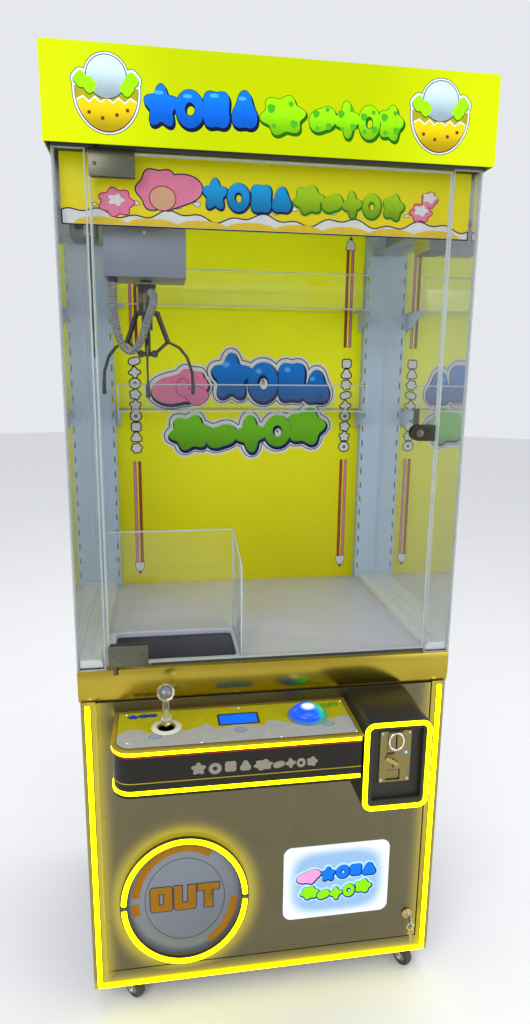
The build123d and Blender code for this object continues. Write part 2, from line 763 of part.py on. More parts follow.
# ---- glass door ----
def door_glass():
    x, z = latch_axis()
    return span(pane_x, pane_y, pane_z) - rod_y(x, (pane_y[0] - 1, pane_y[1] + 1), z, latch_rotor_r - 2 + run)


def door_fittings():
    """Upper and lower pivot patches clamped over the pane's corners, and the lock case."""
    fittings = []
    middle = (pane_y[0] + pane_y[1]) / 2
    for low, high, cap, pin in ((patch_top_z, pane_z[1], (pane_z[1], pane_z[1] + 4), (pane_z[1], glass_top_z + pivot_depth)),
                                (pane_z[0], patch_bottom_z, (pane_z[0] - 4, pane_z[0]), (belt_top - pivot_depth, pane_z[0]))):
        patch = span(patch_x, (pane_y[0] - patch_t, pane_y[0]), (low, high))
        patch += span(patch_x, (pane_y[1], pane_y[1] + patch_t), (low, high))
        patch += span(patch_x, (pane_y[0] - patch_t, pane_y[1] + patch_t), cap)
        patch += rod_z(pivot_x, middle, pin, pivot_r)
        fittings.append(patch)
    latch_middle = (latch_z[0] + latch_z[1]) / 2
    radius = (latch_z[1] - latch_z[0]) / 2
    for y in ((pane_y[0] - latch_t, pane_y[0]), (pane_y[1], pane_y[1] + 5)):
        case = span((latch_x[0] + radius, latch_x[1]), y, latch_z)
        case += rod_y(latch_x[0] + radius, y, latch_middle, radius)
        case -= rod_y(latch_x[0] + radius, (y[0] - 1, y[1] + 1), latch_middle, latch_rotor_r + run)
        fittings.append(case)
    return fittings


def latch_axis():
    radius = (latch_z[1] - latch_z[0]) / 2
    return (latch_x[0] + radius, (latch_z[0] + latch_z[1]) / 2)


def door_lock_cam():
    """Chrome cylinder with its cam behind the pane, unlocked and pointing up."""
    x, z = latch_axis()
    cam_y = (pane_y[1] + 5 + gap, pane_y[1] + 5 + gap + 2)
    cam = rod_y(x, (pane_y[0] - latch_t - 2, pane_y[0]), z, latch_rotor_r)
    cam += rod_y(x, (pane_y[0], pane_y[1]), z, latch_rotor_r - 2)
    cam += rod_y(x, (pane_y[1], cam_y[1]), z, latch_rotor_r)
    return cam + span((x - 6, x + 6), cam_y, (z, z + latch_cam))


# ---- crane ----
def gantry_rail():
    """Side rail that the bridge rolls on, hung from the header."""
    rail = span(rail_x, rail_y, (rail_z, rail_z + rail_t))
    return rail + span((rail_x[1] - rail_t, rail_x[1]), rail_y, (rail_z, glass_top_z))


def cable_clip():
    """Tab under the left side rail that holds the fixed end of the hanging cable."""
    foot = trail_top() + gap
    tab = span((-rail_x[0] - sheet, -rail_x[0]), (trail_y[0] - 10, trail_y[0] + 8), (foot, rail_z))
    return tab + span((-rail_x[0] - sheet, trail_x + 6), (trail_y[0] - 10, trail_y[0] + 8), (foot, foot + sheet))


def trail_top():
    return trail_bottom + 0.293 * (trail_y[1] - trail_y[0]) + trail_rises[-1]


def bridge_beam():
    """Two beams along X with a truck at each end, its rollers on the side rails, and the drive motor."""
    bridge = span((-truck_x[0], truck_x[0]), beam_span(-1), (beam_z, beam_z + beam_size[1]))
    bridge += span((-truck_x[0], truck_x[0]), beam_span(1), (beam_z, beam_z + beam_size[1]))
    for side in (-1, 1):
        web = sorted((side * truck_x[0], side * truck_x[1]))
        box = sorted((side * truck_x[1], side * truck_box_x))
        bridge += span(web, truck_y, truck_z)
        bridge += span(box, truck_y, (truck_z[0], truck_box_z))
        for y in (truck_y[0] + 14, truck_y[1] - 14):
            reach = sorted((side * (truck_x[1] - 2), side * (rail_x[0] + 18)))
            bridge += rod_x(reach, y, rail_z + rail_t + gap + roller_r, roller_r)
    hole_x_mid = -(truck_x[1] + truck_box_x) / 2
    bridge -= rod_y(hole_x_mid, (truck_y[0] - 1, truck_y[0] + 12), truck_z[0] + truck_hole_rise, truck_hole_r)
    return bridge + rod_y(-hole_x_mid, (truck_y[1], truck_y[1] + drive_length), truck_z[0] + truck_hole_rise, drive_r)


def beam_span(side):
    middle = crane_y + side * beam_y
    return (middle - beam_size[0] / 2, middle + beam_size[0] / 2)


def carriage_chassis():
    """Plate on slide shoes over the beams, its hangers, and the hoist's bearing plates and motor."""
    plate_z_low = beam_z + beam_size[1] + 2
    plate = span((crane_x - 62, crane_x + 62), (cover_y[0] - sheet, cover_y[1] + sheet), (plate_z_low, plate_z_low + 3))
    for side in (-1, 1):
        for x in (crane_x - 48, crane_x + 48):
            plate += span((x - 12, x + 12), beam_span(side), (plate_z_low - 2 + gap, plate_z_low))
    for y in ((cover_y[0] - sheet, cover_y[0]), (cover_y[1], cover_y[1] + sheet)):
        plate += span((crane_x - 40, crane_x + 40), y, (cover_z[1] - 30, plate_z_low))
    bearing = drum_length / 2 + drum_flange + gap
    for side in (-1, 1):
        x = sorted((crane_x + side * bearing, crane_x + side * (bearing + 3)))
        plate += span(x, (drum_y() - 14, drum_y() + 20), (drum_z - 12, beam_z - 2))
        plate += span(x, (beam_span(-1)[1] + 2, beam_span(1)[0] - 2), (beam_z - 2, plate_z_low))
    plate -= rod_x((crane_x - 60, crane_x + 60), drum_y(), drum_z, shaft_r + run)
    motor_x = crane_x + bearing + 3
    return plate + (rod_x((motor_x, motor_x + 34), drum_y(), drum_z, 20)
                    - rod_x((motor_x - 1, motor_x + 12), drum_y(), drum_z, shaft_r + run))


def drum_y():
    return crane_y - drum_r - rope_r


def hoist_drum():
    reach = drum_length / 2
    drum = rod_x((crane_x - reach, crane_x + reach), drum_y(), drum_z, drum_r)
    for side in (-1, 1):
        x = sorted((crane_x + side * reach, crane_x + side * (reach + drum_flange)))
        drum += rod_x(x, drum_y(), drum_z, drum_r + 7)
    return drum + rod_x((crane_x - reach - drum_flange - 3, crane_x + reach + drum_flange + 12), drum_y(), drum_z, shaft_r)


def carriage_cover():
    """Folded steel cover hung between the hangers, open at the top, with the rope and cord holes."""
    cover = span(cover_x, cover_y, cover_z)
    cover -= span((cover_x[0] + cover_wall, cover_x[1] - cover_wall), (cover_y[0] + cover_wall, cover_y[1] - cover_wall),
                  (cover_z[0] + cover_wall, cover_z[1] + 5))
    return cover - rod_z(crane_x, crane_y, (cover_z[0] - 5, cover_z[0] + 5), rope_hole_r)


def hoist_rope():
    return rod_z(crane_x, crane_y, (coil_z[1], drum_z), rope_r)


def ring_of(piece, angle):
    """A claw piece drawn in the X-Z plane at the origin, turned to its place round the claw."""
    return Pos(crane_x, crane_y, 0) * Rot(0, 0, angle) * piece


def bar(start, end, width, y):
    """Flat bar with round ends between two (radius, height) points."""
    length = math.dist(start, end)
    angle = math.degrees(math.atan2(end[1] - start[1], end[0] - start[0]))
    middle = ((start[0] + end[0]) / 2, (start[1] + end[1]) / 2)
    return front_plate(Rot(0, 0, angle) * SlotCenterToCenter(length, width), y, *middle)


def claw_coil():
    """Solenoid: coil with end plates, guide tube and three lugs for the links."""
    coil = rod_z(0, 0, coil_z, coil_r - 1.5)
    for z in ((coil_z[0] - 4, coil_z[0] + 2), (coil_z[1] - 4, coil_z[1])):
        coil += rod_z(0, 0, z, coil_r + 1)
    coil += rod_z(0, 0, (stem_z, coil_z[0]), stem_r)
    for angle in prong_angles:
        lug = span((stem_r - 2, claw_pivot[0]), (-prong_t / 2, prong_t / 2), (claw_pivot[1] - 5, coil_z[0]))
        lug += rod_y(claw_pivot[0], (-prong_t / 2, prong_t / 2), claw_pivot[1], 5)
        lug -= rod_y(claw_pivot[0], (-10, 10), claw_pivot[1], claw_pin_r + run)
        coil += Rot(0, 0, angle) * lug
    coil -= rod_z(0, 0, (stem_z - 5, coil_z[1] - 10), plunger_r + run)
    return Pos(crane_x, crane_y, 0) * coil


def claw_hub():
    """Plunger rod with a hub at its foot that holds three pins between pairs of ears."""
    hub = rod_z(0, 0, (hub_pin[1] - 5, stem_z + 40), plunger_r)
    hub += rod_z(0, 0, (hub_pin[1] - 5, hub_pin[1] + 6), hub_pin[0] - prong_eye_r - prong_slack)
    for angle in prong_angles:
        for side in (-1, 1):
            y = sorted((side * (prong_t / 2 + gap), side * (prong_t / 2 + gap + strap_t)))
            ear = span((4, hub_pin[0]), y, (hub_pin[1] - 4, hub_pin[1] + 4))
            hub += Rot(0, 0, angle) * (ear + rod_y(hub_pin[0], y, hub_pin[1], 4))
        hub += Rot(0, 0, angle) * rod_y(hub_pin[0], (-prong_t / 2 - 2, prong_t / 2 + 2), hub_pin[1], claw_pin_r)
    return Pos(crane_x, crane_y, 0) * hub


def claw_link(angle):
    """Two straps joined by a pin at each end."""
    link = None
    for side in (-1, 1):
        y = sorted((side * (prong_t / 2 + gap), side * (prong_t / 2 + gap + strap_t)))
        strap = bar(claw_pivot, elbow, strap_width, y)
        link = strap if link is None else link + strap
    reach = prong_t / 2 + gap + strap_t + 1
    for x, z in (claw_pivot, elbow):
        link += rod_y(x, (-reach, reach), z, claw_pin_r)
    return ring_of(link, angle)


def claw_prong(angle):
    """Bell crank with an eye at the hub and a hole at the elbow, and a curved finger with a tip."""
    y = (-prong_t / 2, prong_t / 2)
    prong = bar(hub_pin, elbow, 6, y)
    prong += rod_y(hub_pin[0], y, hub_pin[1], prong_eye_r)
    prong += rod_y(elbow[0], y, elbow[1], 4.5)
    route = FilletPolyline(*[(x, z) for x, z in prong_path], radius=16)
    plane = Plane(origin=(0, y[1], 0), x_dir=(1, 0, 0), z_dir=(0, -1, 0))
    prong += extrude(plane * trace(route, prong_width), prong_t)
    end = prong_path[-1]
    prong += rod_z(end[0], 0, (prong_tip_z + prong_tip_r, end[1] + 8), prong_tip_r - 1)
    prong += Pos(end[0], 0, prong_tip_z + prong_tip_r) * Sphere(prong_tip_r)
    prong -= rod_y(hub_pin[0], (-10, 10), hub_pin[1], claw_pin_r + prong_slack)
    prong -= rod_y(elbow[0], (-10, 10), elbow[1], claw_pin_r + run)
    return ring_of(prong, angle)


# ---- cords ----
def route_radii(points):
    """Radius for each bend: as large as its two runs allow."""
    radii = []
    for before, corner, after in zip(points, points[1:], points[2:]):
        run_in = Vector(*corner) - Vector(*before)
        run_out = Vector(*after) - Vector(*corner)
        turn = math.radians(run_in.get_angle(run_out))
        radii.append(0.45 * min(run_in.length, run_out.length) / math.tan(turn / 2))
    return radii


def cord(points, radius, label):
    radii = route_radii(points)
    print(label, "bend radii", [round(r, 1) for r in radii])
    path = FilletPolyline(*points, radius=radii)
    start = Plane(origin=points[0], z_dir=Vector(*points[1]) - Vector(*points[0]))
    body = sweep(start * Circle(radius), path)
    print(label, "length", round(path.length, 1), "volume ratio", round(body.volume / (math.pi * radius ** 2 * path.length), 3))
    return body


def curly_cord():
    """Outer shape of the coiled lead from the carriage to the claw's coil."""
    return cord(curly_route, curly_r, "curly cord")


def trailing_cable():
    """Loop of cable that hangs from the left side rail to the bridge's truck."""
    front, back = trail_y
    corner = 0.293 * (back - front)
    low = trail_bottom + corner
    down = [(trail_x + (-1) ** row, front - 1, low + rise) for row, rise in enumerate(trail_rises)]
    up = [(trail_x + (-1) ** row, back + 1, low + rise) for row, rise in enumerate(trail_rises)]
    bend = [(trail_x, front, low), (trail_x, front + corner, trail_bottom), (trail_x, back - corner, trail_bottom),
            (trail_x, back, low)]
    points = [*reversed(down), *bend, *up]
    return cord(points, trail_r, "trailing cable")


# ---- build every node ----
save("base_frame", base_frame())
save("side_panels", *mirrored(side_panel()))
save("rear_panel", rear_panel())
save("power_inlet", power_inlet())
save("front_frame", *front_frame())
save("belt_trim", *belt_trim())
save("playfield_floor", playfield_floor())
save("prize_chute", prize_chute())
save("cash_box", cash_box())
save("control_unit", *control_unit())
for label, x, turn in (("left", -castor_x, castor_turns[0]), ("right", castor_x, castor_turns[1])):
    save(f"castor_fork_{label}", fork(x, castor_y, turn))
    save(f"castor_wheel_front_{label}", wheel(x, castor_y, turn))
    save(f"castor_wheel_rear_{label}", wheel(x, castor_rear_y, 90))
save("rear_castor_forks", fixed_fork(-castor_x), fixed_fork(castor_x))

save("service_door", service_door())
save("window_lightbox", window_lightbox())
save("out_ring", out_ring())
save("prize_flap", prize_flap())
save("service_lock_cam", service_lock_cam())
save("console_shell", console_shell())
save("joystick_gimbal", joystick_gimbal())
save("joystick_lever", joystick_lever())
save("push_button", push_button())
save("coin_box", coin_box())
save("coin_faceplate", coin_faceplate())
save("coin_reject_lever", coin_reject_lever())
save("coin_return_flap", coin_return_flap())

save("chute_guard", chute_guard())
brackets = [piece for top, _ in shelves for piece in mirrored(shelf_bracket(top))]
save("rear_posts", *mirrored(rear_post()), *brackets)
save("shelves", *[shelf(top, fence) for top, fence in shelves])
save("back_panel", span((-half + 6, half - 6), back_y, (playfield_z, glass_top_z)))
save("side_channels", *mirrored(side_channel()))
save("side_glass", *mirrored(side_pane()))
save("front_glass_strips", *mirrored(front_strip()))
save("header_frame", *header_frame())
save("marquee_housing", marquee_housing())
save("marquee_face", marquee_face())
save("inner_banner", inner_banner())
save("door_glass", door_glass())
save("door_fittings", *door_fittings())
save("door_lock_cam", door_lock_cam())

save("gantry_rails", gantry_rail(), mirror(gantry_rail(), about=Plane.YZ) + cable_clip())
save("bridge_beam", bridge_beam())
save("carriage_chassis", carriage_chassis())
save("carriage_cover", carriage_cover())
save("hoist_drum", hoist_drum())
save("hoist_rope", hoist_rope())
save("claw_coil", claw_coil())
save("claw_hub", claw_hub())
for number, angle in enumerate(prong_angles, 1):
    save(f"claw_link_{number}", claw_link(angle))
    save(f"claw_prong_{number}", claw_prong(angle))
save("curly_cord", curly_cord())
save("trailing_cable", trailing_cable())
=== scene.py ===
import json
import math

import bmesh
import bpy
from mathutils import Matrix, Vector

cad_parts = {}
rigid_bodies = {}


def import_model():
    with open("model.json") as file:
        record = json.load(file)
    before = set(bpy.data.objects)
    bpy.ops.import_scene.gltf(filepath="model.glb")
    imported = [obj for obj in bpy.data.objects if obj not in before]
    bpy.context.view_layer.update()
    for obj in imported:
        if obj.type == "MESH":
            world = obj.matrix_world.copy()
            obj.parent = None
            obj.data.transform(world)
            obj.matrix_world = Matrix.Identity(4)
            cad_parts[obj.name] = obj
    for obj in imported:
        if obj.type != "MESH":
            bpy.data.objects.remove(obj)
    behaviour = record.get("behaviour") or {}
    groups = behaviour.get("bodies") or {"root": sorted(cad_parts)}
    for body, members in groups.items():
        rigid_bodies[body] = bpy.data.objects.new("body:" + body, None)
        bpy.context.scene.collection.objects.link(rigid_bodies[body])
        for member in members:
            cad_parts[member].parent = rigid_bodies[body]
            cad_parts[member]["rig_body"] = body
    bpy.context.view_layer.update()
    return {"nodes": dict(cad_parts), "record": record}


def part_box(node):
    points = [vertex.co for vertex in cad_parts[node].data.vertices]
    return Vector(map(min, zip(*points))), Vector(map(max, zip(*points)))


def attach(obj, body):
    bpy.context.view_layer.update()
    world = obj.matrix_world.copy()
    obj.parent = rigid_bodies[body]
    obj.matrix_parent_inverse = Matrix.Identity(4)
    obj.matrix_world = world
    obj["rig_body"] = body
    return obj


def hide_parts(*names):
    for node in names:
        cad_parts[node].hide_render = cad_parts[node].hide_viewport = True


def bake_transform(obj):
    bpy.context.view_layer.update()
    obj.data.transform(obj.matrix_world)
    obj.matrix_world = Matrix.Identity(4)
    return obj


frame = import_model()

# ---- camera ----
# It stands to the left of the machine and above its middle, and looks slightly down and to the right.
# at() turns millimetres across, back from the front glass and up from the floor into the row frame.
front_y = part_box("door_glass")[0].y


def at(x, y, z):
    return Vector((x / 1000, front_y + y / 1000, z / 1000))


camera = bpy.data.objects.new("camera", bpy.data.cameras.new("camera"))
bpy.context.collection.objects.link(camera)
camera.data.sensor_width = 36
camera.data.lens = 23.81
aim = (Matrix.Rotation(-0.156, 4, "Z") @ Matrix.Rotation(-0.2118, 4, "X")
       @ Matrix.Rotation(-0.0111, 4, "Y") @ Matrix.Rotation(math.pi / 2, 4, "X"))
camera.matrix_world = Matrix.Translation(at(-223.7, -1322.1, 1452.4)) @ aim
camera.data.clip_start = 0.02
bpy.context.scene.camera = camera


# ---- curly cord from the carriage to the claw ----
# A coiled lead with a grey jacket, clamped under the carriage's cover and at the coil.
# The route is that of the fat tube that stands for the coils, and the helix winds round its smooth line.
class Wire:
    """A shader socket: arithmetic on it adds Math nodes, and node() makes any other node in its tree."""

    def __init__(self, tree, socket=None):
        self.tree, self.socket = tree, socket

    def node(self, kind, settings=None, sockets=None, out=0):
        made = self.tree.nodes.new("ShaderNode" + kind)
        for key, value in (settings or {}).items():
            setattr(made, key, value)
        for key, value in (sockets or {}).items():
            if isinstance(value, Wire):
                self.tree.links.new(value.socket, made.inputs[key])
            else:
                made.inputs[key].default_value = value
        return Wire(self.tree, made.outputs[out])

    def math(self, operation, *values):
        return self.node("Math", {"operation": operation}, dict(enumerate((self, *values))))

    def __add__(self, other):
        return self.math("ADD", other)

    def __sub__(self, other):
        return self.math("SUBTRACT", other)

    def __mul__(self, other):
        return self.math("MULTIPLY", other)

    def __truediv__(self, other):
        return self.math("DIVIDE", other)

    def noise(self, scale, detail=3, stretch=(1, 1, 1)):
        spread = self.node("VectorMath", {"operation": "MULTIPLY"}, {0: self, 1: stretch})
        return self.node("TexNoise", None, {"Vector": spread, "Scale": scale, "Detail": detail})

    def blend(self, low, high):
        """Colour that goes from low to high as this value goes from 0 to 1."""
        ends = [c if isinstance(c, Wire) else (*c, 1) for c in (low, high)]
        return self.node("Mix", {"data_type": "RGBA"}, {0: self, 6: ends[0], 7: ends[1]}, 2)

    def ramp(self, low, high):
        """This value moved smoothly from the range low..high to 0..1, and held there."""
        return self.node("MapRange", {"interpolation_type": "SMOOTHSTEP"}, {0: self, 1: low, 2: high})

    def axes(self):
        split = self.node("SeparateXYZ", None, {0: self})
        return [Wire(self.tree, output) for output in split.socket.node.outputs]

    def feed(self, name):
        self.tree.links.new(self.socket, self.tree.nodes["Principled BSDF"].inputs[name])
        return self


def plain(name, **shader):
    """A material with constant values on its shader, and the wire that gives places in metres."""
    material = bpy.data.materials.new(name)
    material.use_nodes = True
    sockets = material.node_tree.nodes["Principled BSDF"].inputs
    for key, value in shader.items():
        sockets[key.replace("_", " ")].default_value = value
    return material, Wire(material.node_tree).node("TexCoord", out="Object")


def shades(colour, mottle):
    """A darker and a lighter shade of a colour."""
    return [c * (1 - mottle) for c in colour], [c * (1 + mottle) for c in colour]


def coat(name, colour, rough, metal=0.0, mottle=0.1, grain=700, depth=0.15, **shader):
    """A finish with slow changes of shade, fine grain in its roughness and a slight relief."""
    material, place = plain(name, Metallic=metal, **shader)
    slow, fine = place.noise(7, 4), place.noise(grain, 2)
    shade = slow * mottle + (fine - 0.5) * (mottle * 0.6)
    (shade / mottle).blend(*shades(colour, mottle)).feed("Base Color")
    (fine * (rough * 0.3) + slow * (rough * 0.2) + rough * 0.75).feed("Roughness")
    place.node("Bump", None, {"Strength": depth, "Distance": 0.0004, "Height": fine}).feed("Normal")
    return material


def line(points, resolution=12):
    """A smooth open curve led by these control points, which are in metres."""
    curve = bpy.data.curves.new("line", "CURVE")
    curve.dimensions = "3D"
    spline = curve.splines.new("NURBS")
    spline.points.add(len(points) - 1)
    for control, point in zip(spline.points, points):
        control.co = (*point, 1)
    spline.order_u, spline.use_endpoint_u = 3, True
    curve.resolution_u = resolution
    return curve


def thicken(curve, radius, detail):
    """Gives a curve a round section with closed ends."""
    curve.bevel_depth, curve.bevel_resolution, curve.use_fill_caps = radius, detail, True


def shown(data, name="piece"):
    piece = bpy.data.objects.new(name, data)
    bpy.context.collection.objects.link(piece)
    return piece


def meshed(data):
    """The mesh that a curve gives, with its bevel and fill."""
    piece = shown(data)
    bpy.context.view_layer.update()
    mesh = bpy.data.meshes.new_from_object(piece.evaluated_get(bpy.context.evaluated_depsgraph_get()))
    bpy.data.objects.remove(piece)
    return mesh


def smooth(mesh, angle=35):
    mesh.shade_smooth()
    mesh.set_sharp_from_angle(angle=math.radians(angle))
    return mesh


curly_route = [(-306, 84, 1617.5), (-306, 84, 1598), (-307, 78, 1563), (-301, 70, 1520), (-293, 65, 1491),
               (-278, 61, 1476), (-262, 60, 1483), (-250, 60.5, 1511), (-238, 67, 1547), (-227, 82, 1576),
               (-230, 97.5, 1594), (-236.44, 113.45, 1594)]
curly_pitch = 0.0046
jacket_r = 0.0018
coil_turn_r = 0.0085 - jacket_r - 0.0002
turn_points = 14
end_ease = 0.006

jacket = coat("coiled_jacket", (0.26, 0.27, 0.28), 0.42, mottle=0.06, grain=1500, depth=0.1)
centre = [v.co.copy() for v in meshed(line([at(*point) for point in curly_route])).vertices]
run_lengths = [0.0]
for before, after in zip(centre, centre[1:]):
    run_lengths.append(run_lengths[-1] + (after - before).length)


def along(points, lengths, distance):
    """Point and direction at a distance along a line of points."""
    index = 1
    while index < len(lengths) - 1 and lengths[index] < distance:
        index += 1
    share = (distance - lengths[index - 1]) / (lengths[index] - lengths[index - 1])
    step = points[index] - points[index - 1]
    return points[index - 1] + step * share, step.normalized()


whole = run_lengths[-1]
steps = int(whole / curly_pitch * turn_points)
side = Vector((0, 1, 0))
helix = []
for index in range(steps + 1):
    distance = min(max(whole * index / steps, 1e-6), whole - 1e-6)
    middle, heading = along(centre, run_lengths, distance)
    side = (side - heading * side.dot(heading)).normalized()
    turn = 2 * math.pi * index / turn_points
    ease = min(1.0, distance / end_ease, (whole - distance) / end_ease)
    helix.append(middle + (side * math.cos(turn) + heading.cross(side) * math.sin(turn)) * coil_turn_r * ease)

curve = line(helix, 2)
wound = [v.co.copy() for v in meshed(curve).vertices]
thicken(curve, jacket_r, 2)
curly = shown(smooth(meshed(curve), 60), "coiled_lead")
curly.data.materials.append(jacket)
at(-300, 80, 1540)
at(-240, 80, 1540)
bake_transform(curly)
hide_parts("curly_cord")


# ---- trailing cable of the bridge ----
# A black round cable that hangs in a narrow loop from the left side rail to the bridge's truck,
# with room to travel. Its two strands hang close together, and bend once at the bottom.
def trailing_route():
    """Control points in millimetres, from the rail down round the bend and up to the truck."""
    x, front, back, lowest = -344, 70, 102, 1466
    corner = 0.293 * (back - front)
    low = lowest + corner
    rises = (24, 60, 110, 160, 214.3)
    down = [(x + (-1) ** row, front - 1, low + rise) for row, rise in enumerate(rises)]
    up = [(x + (-1) ** row, back + 1, low + rise) for row, rise in enumerate(rises)]
    bend = [(x, front, low), (x, front + corner, lowest), (x, back - corner, lowest), (x, back, low)]
    return [*reversed(down), *bend, *up]


cable_r = 0.0026
cable_black = coat("cable_sheath", (0.03, 0.03, 0.032), 0.45, mottle=0.08, grain=1200, depth=0.08)
cable_line = line([at(*point) for point in trailing_route()])
cable_path = [v.co.copy() for v in meshed(cable_line).vertices]
thicken(cable_line, cable_r, 4)
cable = shown(smooth(meshed(cable_line), 60), "hanging_cable")
cable.data.materials.append(cable_black)
at(-344, 72, 1500)
at(-344, 100, 1500)
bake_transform(cable)
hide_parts("trailing_cable")


# ---- floor and lights ----
# A pale studio floor and a soft sky.
# Three large soft lamps stand high on the left, low on the right and overhead.
floor_paint, floor_place = plain("studio_floor", Roughness=0.7)
floor_place.noise(3, 2).blend((0.80, 0.80, 0.80), (0.84, 0.84, 0.84)).feed("Base Color")
bpy.ops.mesh.primitive_circle_add(vertices=96, radius=14, fill_type="NGON", location=(0, 0, -0.0005))
floor = bpy.context.object
floor.name = "studio_floor"
floor.data.materials.append(floor_paint)

world = bpy.data.worlds.new("studio")
world.use_nodes = True
world.node_tree.nodes["Background"].inputs["Color"].default_value = (0.93, 0.95, 1.0, 1)
world.node_tree.nodes["Background"].inputs["Strength"].default_value = 0.85
bpy.context.scene.world = world
for name, place, target, size, watts in (("key", (-2.2, -3.2, 3.0), (0, 0, 1.1), 2.4, 75),
                                         ("fill", (3.0, -2.4, 1.6), (0, 0, 1.0), 2.6, 38),
                                         ("top", (0.3, 0.4, 4.2), (0, 0, 1.0), 3.0, 60)):
    lamp = bpy.data.objects.new(name, bpy.data.lights.new(name, "AREA"))
    lamp.data.energy, lamp.data.size = watts, size
    lamp.location = place
    lamp.rotation_euler = (Vector(target) - Vector(place)).to_track_quat("-Z", "Y").to_euler()
    bpy.context.collection.objects.link(lamp)
bpy.context.scene.view_settings.view_transform = "Standard"
bpy.context.scene.cycles.transparent_max_bounces = 32


# ---- castors ----
# Pressed zinc forks with a swivel race, rubber tyres on nylon hubs, and a bolt through each axle.
# The front pair swivels on kingpins; the rear pair is bolted fast.
def part(name, body, pieces, replaces=(), slot=None):
    """One object from (mesh, matrix, material) pieces, riding on a body."""
    whole = bmesh.new()
    finishes = []
    for mesh, matrix, finish in pieces:
        if finish not in finishes:
            finishes.append(finish)
        before = len(whole.verts), len(whole.faces)
        whole.from_mesh(mesh)
        whole.verts.ensure_lookup_table()
        whole.faces.ensure_lookup_table()
        bmesh.ops.transform(whole, matrix=matrix, verts=whole.verts[before[0]:])
        for face in whole.faces[before[1]:]:
            face.material_index = finishes.index(finish)
    mesh = bpy.data.meshes.new(name)
    whole.to_mesh(mesh)
    whole.free()
    for finish in finishes:
        mesh.materials.append(finish)
    piece = shown(mesh, name)
    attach(piece, body)
    if replaces:
        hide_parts(*replaces)
    return piece


def welded(node):
    """A CAD node's mesh, opened for editing, with the points that coincide joined."""
    solid = bmesh.new()
    solid.from_mesh(frame["nodes"][node].data)
    bmesh.ops.remove_doubles(solid, verts=solid.verts, dist=1e-6)
    return solid


def slot_of(node):
    return next(s["material_slot"] for s in frame["record"]["subparts"] if s["node"] == node)


def soften(node, width, finish, segments=2):
    """A CAD node's shape with its edges rounded, in the node's place; width is in millimetres."""
    solid = welded(node)
    bmesh.ops.dissolve_limit(solid, angle_limit=math.radians(2), verts=solid.verts, edges=solid.edges)
    mesh = bpy.data.meshes.new(node + "_made")
    solid.to_mesh(mesh)
    solid.free()
    piece = shown(mesh, node + "_made")
    mesh.materials.clear()
    mesh.materials.append(finish)
    rounding = piece.modifiers.new("edges", "BEVEL")
    rounding.width, rounding.segments, rounding.limit_method = width / 1000, segments, "ANGLE"
    rounding.angle_limit = math.radians(38)
    rounding.use_clamp_overlap, rounding.harden_normals = True, False
    bpy.context.view_layer.update()
    done = bpy.data.meshes.new_from_object(piece.evaluated_get(bpy.context.evaluated_depsgraph_get()))
    piece.modifiers.clear()
    piece.data = smooth(done, 32)
    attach(piece, frame["nodes"][node]["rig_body"])
    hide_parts(node)
    slot_of(node)
    return piece


def lathe(profile, turns=64):
    """A turned shape from (radius, height) points in millimetres, about Z."""
    shape = bmesh.new()
    ring = [shape.verts.new((r / 1000, 0, z / 1000)) for r, z in profile]
    edges = [shape.edges.new(pair) for pair in zip(ring, ring[1:])]
    bmesh.ops.spin(shape, geom=ring + edges, cent=(0, 0, 0), axis=(0, 0, 1), angle=2 * math.pi, steps=turns)
    bmesh.ops.remove_doubles(shape, verts=shape.verts, dist=1e-6)
    bmesh.ops.recalc_face_normals(shape, faces=shape.faces)
    mesh = bpy.data.meshes.new("turned")
    shape.to_mesh(mesh)
    shape.free()
    return smooth(mesh)


zinc = coat("zinc_plate", (0.56, 0.56, 0.55), 0.34, 1.0, mottle=0.14, grain=260, depth=0.12)
tyre = coat("tyre_rubber", (0.035, 0.034, 0.033), 0.62, mottle=0.2, grain=900, depth=0.3)
hub_nylon = coat("hub_nylon", (0.34, 0.30, 0.22), 0.4, mottle=0.08, grain=500)
tyre_shape = lathe([(13, -9.2), (17, -9.2), (21, -9.8), (23.6, -8.2), (24.7, -4.5), (25, 0), (24.7, 4.5),
                    (23.6, 8.2), (21, 9.8), (17, 9.2), (13, 9.2)])
hub_shape = lathe([(4.1, -10.6), (7.6, -10.6), (8.2, -10), (8.4, -5), (13.5, -6.4), (14.2, -8.8), (14.6, 0),
                   (14.2, 8.8), (13.5, 6.4), (8.4, 5), (8.2, 10), (7.6, 10.6), (4.1, 10.6)])
bolt_shape = lathe([(0, 3.4), (3, 3.4), (5.4, 2.6), (6, 0.6), (6, 0), (0, 0)], 6)
quarter = math.pi / 2
cheek_out = 0.0137
axles = {}
for label, turn in (("front_left", -45), ("front_right", -60), ("rear_left", 90), ("rear_right", 90)):
    node = "castor_wheel_" + label
    low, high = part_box(node)
    axles[label] = Matrix.Translation((low + high) / 2) @ Matrix.Rotation(math.radians(turn), 4, "Z")
    spot = axles[label] @ Matrix.Rotation(quarter, 4, "X")
    part(node + "_tyre", "wheel_" + label, [(tyre_shape, spot, tyre), (hub_shape, spot, hub_nylon)], [node], "tread")
for node in ("castor_fork_left", "castor_fork_right", "rear_castor_forks"):
    soften(node, 0.6, zinc)
for label in ("left", "right"):
    axle = axles["front_" + label]
    ends = [axle @ Matrix.Translation((0, s * cheek_out, 0)) @ Matrix.Rotation(-s * quarter, 4, "X") for s in (-1, 1)]
    part(f"castor_{label}_axle_bolt", "castor_" + label, [(bolt_shape, end, zinc) for end in ends], slot="zinc")


